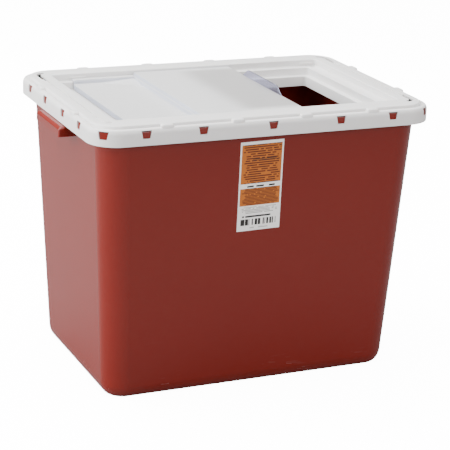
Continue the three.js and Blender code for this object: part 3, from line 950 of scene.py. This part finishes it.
class SHARPS_OT_tub(bpy.types.Operator):
    """Builds the red tub: drafted walls, rounded base, turned-over rim and two grip ledges"""
    bl_idname = "sharps.tub"
    bl_label = "Tub"

    def execute(self, context):
        tub = context.scene.sharps_tub
        piece = as_object("tub", tub_shell(tub))
        for side in (-1, 1):
            combine(piece, grip_ledge(tub, side), "UNION")
        finish_surface(piece)
        hand_over(piece, "red_polypropylene", tub_material(), "container", "bin")
        return {"FINISHED"}


class SHARPS_OT_latches(bpy.types.Operator):
    """Puts a latch tab on the tub's rim behind each window of the lid"""
    bl_idname = "sharps.latches"
    bl_label = "Latch tabs"

    def execute(self, context):
        tub, lid = context.scene.sharps_tub, context.scene.sharps_lid
        material = bpy.data.materials["red polypropylene"]
        height = lid.window_height - LATCH_PLAY
        z = lid.window_z - lid.window_height / 2 + LATCH_LIFT + height / 2
        places = latch_places(
            tub.rim_half_x, tub.rim_half_y, tub.rim_radius, LATCH_REACH - LATCH_DEPTH / 2, z
        )
        piece = grown("latch_tabs", place_points("latch points", places), blocks_tree(), {
            "Depth": LATCH_DEPTH,
            "Width": lid.window_top - LATCH_PLAY,
            "Height": height,
            "Foot Width Share": 0.74,
            "Top Depth Share": 0.3,
            "Rounding": 3,
        }, material)
        finish_surface(piece, BLOCK_SHARP_ANGLE)
        hand_over(piece, "red_polypropylene", material, "container", "bin")
        return {"FINISHED"}


# ------------------------------------------------------------------ lid

LID_EDGE = 0.8 * MM
SKIRT_INNER_ROUND = 2.6 * MM
CREASE_OUTER, CREASE_INNER, CREASE_ROUND = 0.9 * MM, 0.3 * MM, 0.3 * MM
CREASE_DEPTH, CREASE_RISE = 1.5 * MM, 1.4 * MM
RING_FOOT_INSET, RING_FOOT_DROP, RING_FOOT_ROUND = 0.5 * MM, 0.4 * MM, 1.5 * MM
RING_CREST_INSET, RING_CREST_ROUND, RING_CREST_CORNER = 13 * MM, 6 * MM, 10 * MM
WELL_CORNER, WELL_EDGE_DROP, WELL_EDGE_ROUND = 5 * MM, 0.3 * MM, 1.3 * MM
PAN_CORNER, PAN_DRAFT = 4 * MM, 0.4 * MM
CHUTE_MARGIN, CHUTE_EDGE_ROUND, CHUTE_THINNING = 3.5 * MM, 1.1 * MM, 0.6 * MM
POCKET_CENTRE = Vector((191.5 * MM, 115.0 * MM))
POCKET_INNER, POCKET_OUTER, POCKET_START, POCKET_STEPS = 6.5 * MM, 12.0 * MM, 94 * MM, 12
POCKET_DEPTH, SHALLOWER = 10 * MM, 0.3 * MM
THROUGH_POCKETS, SHALLOW_POCKETS = ((1, 1), (-1, 1), (1, -1)), ((-1, -1),)
GROOVE_INSIDE, GROOVE_OUTSIDE, GROOVE_END = 198.0 * MM, 202.0 * MM, 95 * MM
LOCK_SLOT_X, LOCK_SLOT_Y, LOCK_SLOT_DROP = 180 * MM, 109.6 * MM, 1 * MM
LOCK_SLOT_HALF = Vector((3.5 * MM, 1.5 * MM, 4.0 * MM))
LUG_PLACES_X = (-132.4 * MM, -44.1 * MM, 44.1 * MM, 132.4 * MM)
LUG_PLACES_Y = (-61.6 * MM, 61.6 * MM)
LUG_DEPTH, LUG_HEIGHT, LUG_INSET, LUG_DROP = 10.5 * MM, 9.5 * MM, 0.4 * MM, 0.5 * MM
LUG_SPREAD = 1.12
NIB_PLACES_X = (-150 * MM, -60 * MM, 30 * MM, 172 * MM)
NIB_DEPTH, NIB_WIDTH, NIB_HEIGHT = 2.6 * MM, 22 * MM, 1.8 * MM
NIB_SINK, NIB_LIFT = 0.5 * MM, 3 * MM

def lid_stations(lid):
    """The lid's closed section: over the ring, down the well and chute, and back below."""
    foot = lid.skirt_low
    over = lid.ring_inset
    under_floor = lid.floor - lid.wall
    under_ledge = lid.ledge - lid.wall
    under_shoulder = lid.shoulder - lid.wall
    under_ring = lid.ring_top - lid.wall
    edge = LID_EDGE

    def skirt(inset, z, ease, radius=None):
        corner = lid.radius - inset if radius is None else radius
        half_x = LID_HIGH.x - inset
        return Station(-half_x, half_x, LID_HIGH.y - inset, corner, z, ease)

    def well(grow, z, ease):
        half_x = lid.well_half_x + grow
        return Station(-half_x, half_x, lid.well_half_y + grow, WELL_CORNER + grow, z, ease)

    def pan(grow, z, ease):
        low_x = -lid.well_half_x + PAN_DRAFT - grow
        corner = PAN_CORNER + max(grow, 0)
        return Station(low_x, lid.ledge_x + grow, lid.ledge_y + grow, corner, z, ease)

    def chute(grow, z, ease):
        low_x, high_x = lid.chute_left - grow, lid.chute_right + grow
        return Station(low_x, high_x, lid.chute_half_y + grow, PAN_CORNER + max(grow, 0), z, ease)

    return [
        skirt(lid.skirt_wall, foot, edge / 2),
        skirt(0.0, foot, edge),
        skirt(0.0, lid.shoulder, lid.skirt_round),
        skirt(over - CREASE_OUTER, lid.shoulder, CREASE_ROUND),
        skirt(over - CREASE_INNER, lid.shoulder - CREASE_DEPTH, CREASE_ROUND),
        skirt(over + CREASE_INNER, lid.shoulder - CREASE_RISE, CREASE_ROUND),
        skirt(over + RING_FOOT_INSET, lid.ring_top - RING_FOOT_DROP, RING_FOOT_ROUND, lid.ring_radius),
        skirt(
            over + RING_CREST_INSET, lid.ring_top, RING_CREST_ROUND,
            lid.ring_radius - RING_CREST_CORNER,
        ),
        well(0.0, lid.ring_top - WELL_EDGE_DROP, WELL_EDGE_ROUND),
        well(0.0, lid.ledge, edge),
        pan(0.0, lid.ledge, edge),
        pan(-PAN_DRAFT, lid.floor, edge),
        chute(CHUTE_MARGIN, lid.floor, 0.0),
        chute(0.0, lid.floor, CHUTE_EDGE_ROUND),
        chute(-PAN_DRAFT, lid.chute_low, edge / 2),
        chute(lid.wall - CHUTE_THINNING, lid.chute_low, edge / 2),
        chute(lid.wall, under_floor, edge),
        pan(lid.wall, under_floor, edge),
        pan(lid.wall, under_ledge, edge),
        well(lid.wall, under_ledge, edge),
        well(lid.wall, under_ring, edge),
        skirt(over + lid.wall, under_ring, edge, lid.ring_radius - lid.wall),
        skirt(over + lid.wall, under_shoulder, edge, lid.ring_radius - lid.wall),
        skirt(lid.skirt_wall, under_shoulder, SKIRT_INNER_ROUND),
    ]


def pushed_down(outline_points, signs, top, depth):
    """A cutter: a flat outline pushed down from the top, mirrored to each pair of signs."""
    merged = bmesh.new()
    for sign_x, sign_y in signs:
        low = [merged.verts.new((x * sign_x, y * sign_y, top - depth)) for x, y in outline_points]
        high = [merged.verts.new((x * sign_x, y * sign_y, top + depth)) for x, y in outline_points]
        merged.faces.new(low)
        merged.faces.new(high)
        for k, vertex in enumerate(low):
            after = (k + 1) % len(low)
            merged.faces.new((vertex, low[after], high[after], high[k]))
    return as_object("cutter", merged)


def pocket_cutters(lid, signs, depth):
    """The slot that curls round one end of the bar along a short side."""
    parts = [step / POCKET_STEPS for step in range(POCKET_STEPS + 1)]
    arc = [(POCKET_OUTER, part) for part in parts]
    arc += [(POCKET_INNER, 1 - part) for part in parts]
    points = [(POCKET_CENTRE.x + radius, POCKET_START) for radius in (POCKET_INNER, POCKET_OUTER)]
    points += [
        (
            POCKET_CENTRE.x + radius * math.cos(part * QUARTER_TURN),
            POCKET_CENTRE.y + radius * math.sin(part * QUARTER_TURN),
        )
        for radius, part in arc
    ]
    return pushed_down(points, signs, lid.ring_top, depth)


def groove_cutters(lid):
    """The shallow groove along each short side, between the two pockets."""
    inside, outside, end = GROOVE_INSIDE, GROOVE_OUTSIDE, GROOVE_END
    points = [(inside, -end), (outside, -end), (outside, end), (inside, end)]
    return pushed_down(points, ((1, 1), (-1, 1)), lid.ring_top, lid.groove)


def lock_slot_cutters(lid):
    """The two slots in the ledge at the chute end."""
    merged = bmesh.new()
    size = Matrix.Diagonal((*LOCK_SLOT_HALF, 1.0))
    for side in (-1, 1):
        place = Matrix.Translation((LOCK_SLOT_X, side * LOCK_SLOT_Y, lid.ledge - LOCK_SLOT_DROP))
        bmesh.ops.create_cube(merged, size=2.0, matrix=place @ size)
    return as_object("lock slot cutters", merged)


class SHARPS_OT_lid(bpy.types.Operator):
    """Builds the white lid: skirt, shoulder, ring, door ledges, fixed floor and chute"""
    bl_idname = "sharps.lid"
    bl_label = "Lid frame"

    def execute(self, context):
        lid = context.scene.sharps_lid
        piece = as_object("lid", loft(lid_stations(lid), joined=True))
        places = latch_places(LID_HIGH.x, LID_HIGH.y, lid.radius, lid.skirt_wall / 2, lid.window_z)
        windows = grown("windows", place_points("window points", places), blocks_tree(), {
            "Depth": 3 * lid.skirt_wall,
            "Width": lid.window_top,
            "Height": lid.window_height,
            "Foot Width Share": lid.window_foot / lid.window_top,
            "Top Depth Share": 1.0,
            "Rounding": 0,
        })
        combine(piece, windows, "DIFFERENCE")
        for cutter in (
            pocket_cutters(lid, THROUGH_POCKETS, POCKET_DEPTH),
            pocket_cutters(lid, SHALLOW_POCKETS, lid.groove - SHALLOWER),
            groove_cutters(lid),
            lock_slot_cutters(lid),
        ):
            combine(piece, cutter, "DIFFERENCE")
        finish_surface(piece)
        hand_over(piece, "white_polypropylene", lid_material(), "container", "lid_frame")
        return {"FINISHED"}


class SHARPS_OT_lugs(bpy.types.Operator):
    """Puts the rounded lugs on the shoulder and the nibs that hold the door down"""
    bl_idname = "sharps.lugs"
    bl_label = "Lugs and door nibs"

    def execute(self, context):
        lid = context.scene.sharps_lid
        material = bpy.data.materials["white polypropylene"]
        inset = LUG_INSET + LUG_DEPTH / 2
        z = lid.ring_top - LUG_DROP - LUG_HEIGHT / 2
        places = wall_places(LID_HIGH.x - inset, LID_HIGH.y - inset, LUG_PLACES_X, LUG_PLACES_Y, z)
        lugs = grown("lid_lugs", place_points("lug points", places), blocks_tree(), {
            "Depth": LUG_DEPTH,
            "Width": lid.lug_width * LUG_SPREAD,
            "Height": LUG_HEIGHT,
            "Foot Width Share": 1.1,
            "Top Depth Share": 0.7,
            "Rounding": 3,
            "Crease": 0.4,
        }, material)
        nib_z = lid.ledge + NIB_LIFT + NIB_HEIGHT / 2
        nib_y = lid.well_half_y - NIB_SINK
        nib_places = [
            (Vector((x, side * nib_y, nib_z)), -side * QUARTER_TURN)
            for side in (-1, 1) for x in NIB_PLACES_X
        ]
        nibs = grown("door_nibs", place_points("nib points", nib_places), blocks_tree(), {
            "Depth": NIB_DEPTH,
            "Width": NIB_WIDTH,
            "Height": NIB_HEIGHT,
            "Foot Width Share": 1.0,
            "Top Depth Share": 0.3,
            "Rounding": 2,
        }, material)
        for piece in (lugs, nibs):
            finish_surface(piece, BLOCK_SHARP_ANGLE)
            hand_over(piece, "white_polypropylene", material, "container", "lid_frame")
        return {"FINISHED"}


# ------------------------------------------------------------------ door

RUNNER_DROP, RUNNER_BEVEL = 0.8 * MM, 0.5 * MM
WALL_ROUND, WALL_STEPS, CREST = 1.2 * MM, 5, 0.3 * MM
RISEN = 0.5
END_DROP, END_BACK, FOOT_DROP = 0.4 * MM, 1 * MM, 1 * MM
# The step between tray and plate: how far past its foot, in millimetres, and how much of
# the way up it is there.
STEP_RISE = ((-0.6, 0.0), (0.0, 0.08), (0.3, 0.45), (0.8, 0.52), (1.6, 0.55), (1.9, 0.9), (2.5, 1.0))
STEP_LEAD, PLATE_LEAD = 1.5 * MM, 2 * MM
# Below the ledges the door keeps in by this many clearances, and the thickened step
# reaches back under the tray by this many walls.
LEDGE_SIDE_GAPS, STEP_UNDERCUT = 3, 2
# The runners narrow towards the door's ends, to pass the round corners of the well.
LEFT_NARROWING, RIGHT_NARROWING = 0.6, 0.3
TAB_SINK, TAB_WALL_SHARE = 0.8 * MM, 0.85
TAB_CORNER, TAB_CORNER_STEPS = 2.5 * MM, 6
TAB_EDGE, TAB_EDGE_STEPS, TAB_EDGE_ANGLE = 0.4 * MM, 2, 0.9

def door_section(door, raised, cut):
    """Half of the door's top surface across its width, from the runner's edge to the middle."""
    runner_edge = DOOR_HIGH.y - cut
    wall_y = between(door.tray_half_y, door.side_y, raised)
    top = between(door.tray_top, door.plate_top, raised)
    points = [
        (runner_edge, door.runner_top - RUNNER_DROP),
        (runner_edge - RUNNER_BEVEL, door.runner_top),
        (wall_y + WALL_ROUND, door.runner_top),
    ]
    for step in range(1, WALL_STEPS):
        part = step / WALL_STEPS
        y = wall_y + WALL_ROUND * (1 - part) ** 2
        points.append((y, between(door.runner_top, top, part)))
    crest = CREST if raised > RISEN else -CREST
    points += [(wall_y - CREST, top - crest), (wall_y - WALL_ROUND, top), (wall_y / 2, top), (0.0, top)]
    return points


def door_sheet(door):
    """The door's top surface as a grid that follows its tray, its step and its plate."""
    mesh = bmesh.new()
    left, right = DOOR_LOW.x, DOOR_HIGH.x
    stations = [(left, 0.0), (left + END_BACK, 0.0)]
    stations += [(left + door.runner_end, 0.0), (door.step - STEP_LEAD, 0.0)]
    stations += [(door.step + along * MM, raised) for along, raised in STEP_RISE]
    stations += [(door.plate_left + PLATE_LEAD, 1.0), (right - door.runner_end, 1.0)]
    stations += [(right - END_BACK, 1.0), (right, 1.0)]
    rows = []
    for x, raised in stations:
        narrowed = (
            LEFT_NARROWING * (left + door.runner_end - x),
            RIGHT_NARROWING * (x + door.runner_end - right),
        )
        half = door_section(door, raised, max(*narrowed, 0.0))
        drop = END_DROP if x in (left, right) else 0.0
        full = [(y, z - drop) for y, z in half] + [(-y, z - drop) for y, z in reversed(half[:-1])]
        rows.append([mesh.verts.new((x, y, z)) for y, z in full])
    inner_y = door.tray_half_y - END_DROP
    feet = []
    for row, foot_z in ((rows[0], DOOR_LOW.z), (rows[-1], door.lip_low)):
        foot = []
        for vertex in row:
            x, y, z = vertex.co
            foot.append(mesh.verts.new((x, y, foot_z if abs(y) < inner_y else z - FOOT_DROP)))
        feet.append(foot)
    ordered = [feet[0], *rows, feet[1]]
    for first, second in zip(ordered, ordered[1:]):
        for k in range(len(first) - 1):
            mesh.faces.new((first[k], first[k + 1], second[k + 1], second[k]))
    return mesh


def keep_off_lid(piece, door, lid):
    """Keeps the door's underside off the ledges and out of the lid's well walls."""
    lowest = lid.ledge + door.clearance
    top_count = len(piece.data.vertices) // 2
    for vertex in piece.data.vertices:
        place = vertex.co
        under_step = vertex.index >= top_count and place.x > door.step - STEP_UNDERCUT * door.wall
        if place.x > door.plate_left or (under_step and abs(place.y) > door.tray_half_y - door.wall):
            place.z = max(place.z, lowest)
        reach = DOOR_HIGH.y if place.z >= lowest else lid.ledge_y - LEDGE_SIDE_GAPS * door.clearance
        place.y = max(-reach, min(reach, place.y))
        place.x = max(DOOR_LOW.x, min(DOOR_HIGH.x, place.x))


def finger_tab(door):
    """The thin upright tab at the door's right end, wider at its foot."""
    foot_z = door.plate_top - TAB_SINK
    centre, foot_half, top_half = door.tab_centre, door.tab_foot_half, door.tab_top_half
    points = [
        (centre - foot_half, foot_z), (centre + foot_half, foot_z),
        (centre + top_half, DOOR_HIGH.z), (centre - top_half, DOOR_HIGH.z),
    ]
    place = Matrix.Rotation(QUARTER_TURN, 4, "Z")
    mesh = prism(points, -DOOR_HIGH.x, -DOOR_HIGH.x + door.wall * TAB_WALL_SHARE, place)

    def rounded(edges, offset, segments):
        bmesh.ops.bevel(
            mesh, geom=edges, offset=offset, segments=segments, profile=0.5, affect="EDGES"
        )

    across = [e for e in mesh.edges if abs(e.verts[0].co.x - e.verts[1].co.x) > 1 * MM]
    rounded(across, TAB_CORNER, TAB_CORNER_STEPS)
    sharp = [e for e in mesh.edges if e.calc_face_angle(0.0) > TAB_EDGE_ANGLE]
    rounded(sharp, TAB_EDGE, TAB_EDGE_STEPS)
    return as_object("finger_tab", mesh)


class SHARPS_OT_door(bpy.types.Operator):
    """Builds the frosted slide door: tray, step, plate, runners and finger tab"""
    bl_idname = "sharps.door"
    bl_label = "Slide door"

    def execute(self, context):
        door = context.scene.sharps_door
        mesh = door_sheet(door)
        bmesh.ops.recalc_face_normals(mesh, faces=mesh.faces[:])
        if sum(face.normal.z for face in mesh.faces) < 0:
            bmesh.ops.reverse_faces(mesh, faces=mesh.faces[:])
        data = bpy.data.meshes.new("door")
        mesh.to_mesh(data)
        mesh.free()
        piece = bpy.data.objects.new("door", data)
        context.scene.collection.objects.link(piece)
        thick = piece.modifiers.new("thickness", "SOLIDIFY")
        thick.thickness = door.wall
        thick.offset = -1.0
        thick.use_even_offset = True
        take_result(piece)
        keep_off_lid(piece, door, context.scene.sharps_lid)
        finish_surface(piece, DOOR_SHARP_ANGLE)
        hand_over(piece, "frosted_polypropylene", door_material(), "door", "slide_door")
        tab = finish_surface(finger_tab(door), DOOR_SHARP_ANGLE)
        hand_over(tab, "frosted_polypropylene", tab_material(), "door", "slide_door")
        return {"FINISHED"}


# ------------------------------------------------------------------ gasket and label

GASKET_WIDTH, GASKET_INSET = 4.8 * MM, 5.2 * MM
LABEL_TILT = math.radians(-0.9)
LABEL_CORNER, LABEL_CORNER_STEPS = 0.5 * MM, 3

class SHARPS_OT_gasket(bpy.types.Operator):
    """Sweeps the rim gasket round the top of the tub"""
    bl_idname = "sharps.gasket"
    bl_label = "Rim gasket"

    def execute(self, context):
        material = gasket_material()
        source = bpy.data.meshes.new("gasket source")
        piece = grown("gasket", source, gasket_tree(), {
            "Length": 2 * GASKET_HIGH.x - GASKET_WIDTH,
            "Width": 2 * GASKET_HIGH.y - GASKET_WIDTH,
            "Corner": context.scene.sharps_lid.ring_radius - GASKET_INSET,
            "Level": (GASKET_LOW.z + GASKET_HIGH.z) / 2,
            "Strip Width": GASKET_WIDTH,
            "Strip Height": GASKET_HIGH.z - GASKET_LOW.z,
        }, material)
        finish_surface(piece)
        hand_over(piece, "gasket_rubber", material, "container", "rim_gasket")
        return {"FINISHED"}


class SHARPS_OT_label(bpy.types.Operator):
    """Lays the printed film on the front wall"""
    bl_idname = "sharps.label"
    bl_label = "Front label"

    def execute(self, context):
        label, tub = context.scene.sharps_label, context.scene.sharps_tub
        lean = math.atan(tub.draft)
        wall_y = -(tub.base_half_y + tub.draft * label.centre_z)
        lift = (label.lift + label.thickness) / math.cos(lean)
        place = (
            Matrix.Translation((label.centre_x, wall_y - lift, label.centre_z))
            @ Matrix.Rotation(lean, 4, "X")
            @ Matrix.Rotation(LABEL_TILT, 4, "Y")
        )
        edge = (0.0, label.width / 2, label.height / 2, LABEL_CORNER, 0.0)
        rim = [(point.x, point.y) for point in outline(edge, LABEL_CORNER_STEPS)]
        mesh = prism(rim, 0.0, label.thickness, Matrix.Identity(4))
        uv = mesh.loops.layers.uv.new("print")
        for face in mesh.faces:
            for corner_loop in face.loops:
                point = corner_loop.vert.co
                corner_loop[uv].uv = (point.x / label.width + 0.5, point.z / label.height + 0.5)
        bmesh.ops.transform(mesh, matrix=place, verts=mesh.verts[:])
        piece = as_object("label", mesh)
        hand_over(piece, "label_film", label_material(), "container", "front_label")
        return {"FINISHED"}


# ------------------------------------------------------------------ stage

SENSOR_WIDTH, FAR_CLIP = 36.0, 50.0
FLOOR_HALF, FLOOR_CELLS = 8.0, 8
FLOOR_ROUGHNESS, FLOOR_UNEVENNESS, FLOOR_SCALE = 0.6, 0.1, 3.0
LIT_POINT = (0.0, 0.0, 0.2)
PINKISH = (1.0, 0.95, 0.95)
# Each light: its name, place, size in metres, power in watts and colour.
LIGHTS = (
    ("left window", (-2.6, 0.5, 0.9), (3.2, 2.4), 205.0, WHITE[:3]),
    ("top bank", (-0.3, 0.5, 2.4), (2.8, 2.8), 165.0, WHITE[:3]),
    ("front fill", (0.5, -2.8, 1.4), (2.4, 1.6), 58.0, PINKISH),
)

def area_light(name, place, size, power, tint):
    data = bpy.data.lights.new(name, "AREA")
    data.shape = "RECTANGLE"
    data.size, data.size_y = size
    data.energy = power
    data.color = tint
    lamp = bpy.data.objects.new(name, data)
    lamp.location = place
    lamp.rotation_euler = (Vector(LIT_POINT) - Vector(place)).to_track_quat("-Z", "Y").to_euler()
    bpy.context.scene.collection.objects.link(lamp)


def floor_material():
    """A plain pale floor that looks white, and throws back less light than it shows."""
    settings = bpy.context.scene.sharps_stage
    material, build, shader = new_material("pale floor")
    seen = build.node("ShaderNodeLightPath").outputs["Is Camera Ray"]
    uneven = build.math("MULTIPLY", build.noise(build.place(), FLOOR_SCALE), FLOOR_UNEVENNESS)
    rough = build.math("ADD", FLOOR_ROUGHNESS, uneven)
    shown = build.mix_colour(seen, shaded(settings.floor, settings.floor_bounce), settings.floor)
    link(build, shown, shader.inputs["Base Color"])
    link(build, rough, shader.inputs["Roughness"])
    shader.inputs["Specular IOR Level"].default_value = 0.0
    shader.inputs["Emission Color"].default_value = WHITE
    glow = build.math("MULTIPLY", seen, settings.floor_glow)
    link(build, glow, shader.inputs["Emission Strength"])
    return material


def studio_world(settings):
    """Even light from all round, shown brighter to the camera than it lights the object."""
    world = bpy.data.worlds.new("studio")
    world.use_nodes = True
    build = Tree(world.node_tree)
    background = world.node_tree.nodes["Background"]
    seen = build.node("ShaderNodeLightPath").outputs["Is Camera Ray"]
    strength = build.mix_number(seen, settings.sky, settings.sky + settings.floor_glow)
    background.inputs["Color"].default_value = WHITE
    link(build, strength, background.inputs["Strength"])
    return world


def aim_camera(settings):
    """The camera at the given turn, height and roll about the point it looks at."""
    turn, rise = settings.azimuth, settings.elevation
    back = Vector((
        -math.sin(turn) * math.cos(rise), -math.cos(turn) * math.cos(rise), math.sin(rise)
    ))
    target = Vector((settings.target_x, 0.0, settings.target_z))
    right = (-back).cross(Vector((0.0, 0.0, 1.0))).normalized()
    up = right.cross(-back)
    cos_roll, sin_roll = math.cos(settings.roll), math.sin(settings.roll)
    rolled_right = right * cos_roll + up * sin_roll
    rolled_up = up * cos_roll - right * sin_roll
    data = bpy.data.cameras.new("camera")
    data.lens = settings.lens
    data.sensor_width = SENSOR_WIDTH
    data.clip_end = FAR_CLIP
    camera = bpy.data.objects.new("camera", data)
    axes = Matrix((rolled_right, rolled_up, back)).transposed().to_4x4()
    camera.matrix_world = Matrix.Translation(target + back * settings.distance) @ axes
    bpy.context.scene.collection.objects.link(camera)
    bpy.context.scene.camera = camera


class SHARPS_OT_stage(bpy.types.Operator):
    """Sets the pale floor, the soft studio light and the camera"""
    bl_idname = "sharps.stage"
    bl_label = "Stage"

    def execute(self, context):
        settings = context.scene.sharps_stage
        mesh = bmesh.new()
        bmesh.ops.create_grid(
            mesh, x_segments=FLOOR_CELLS, y_segments=FLOOR_CELLS, size=FLOOR_HALF
        )
        floor = as_object("floor", mesh)
        for polygon in floor.data.polygons:
            if polygon.normal.z < 0:
                polygon.flip()
        floor.data.materials.append(floor_material())
        context.scene.world = studio_world(settings)
        for light in LIGHTS:
            area_light(*light)
        aim_camera(settings)
        return {"FINISHED"}


class SHARPS_PT_maker(bpy.types.Panel):
    bl_idname = "SHARPS_PT_maker"
    bl_label = "Sharps Container"
    bl_space_type = "VIEW_3D"
    bl_region_type = "UI"
    bl_category = "Sharps Container"

    def draw(self, context):
        scene = context.scene
        groups = (
            (scene.sharps_stage, ("sharps.stage",)),
            (scene.sharps_tub, ("sharps.tub", "sharps.latches")),
            (scene.sharps_lid, ("sharps.lid", "sharps.lugs", "sharps.gasket")),
            (scene.sharps_door, ("sharps.door",)),
            (scene.sharps_label, ("sharps.label",)),
        )
        for settings, operators in groups:
            box = self.layout.box()
            for name in settings.bl_rna.properties.keys():
                if name not in ("rna_type", "name"):
                    box.prop(settings, name)
            for operator in operators:
                box.operator(operator)


SETTINGS = {
    "sharps_stage": StageSettings,
    "sharps_tub": TubSettings,
    "sharps_lid": LidSettings,
    "sharps_door": DoorSettings,
    "sharps_label": LabelSettings,
}
CLASSES = (
    *SETTINGS.values(),
    SHARPS_OT_stage,
    SHARPS_OT_tub,
    SHARPS_OT_latches,
    SHARPS_OT_lid,
    SHARPS_OT_lugs,
    SHARPS_OT_door,
    SHARPS_OT_gasket,
    SHARPS_OT_label,
    SHARPS_PT_maker,
)


def register():
    for cls in CLASSES:
        bpy.utils.register_class(cls)
    for name, settings in SETTINGS.items():
        setattr(bpy.types.Scene, name, PointerProperty(type=settings))


def unregister():
    for name in SETTINGS:
        delattr(bpy.types.Scene, name)
    for cls in reversed(CLASSES):
        bpy.utils.unregister_class(cls)


def main():
    register()
    bpy.ops.sharps.stage()
    bpy.ops.sharps.tub()
    bpy.ops.sharps.latches()
    bpy.ops.sharps.lid()
    bpy.ops.sharps.lugs()
    bpy.ops.sharps.door()
    bpy.ops.sharps.gasket()
    bpy.ops.sharps.label()


if __name__ == "__main__":
    main()
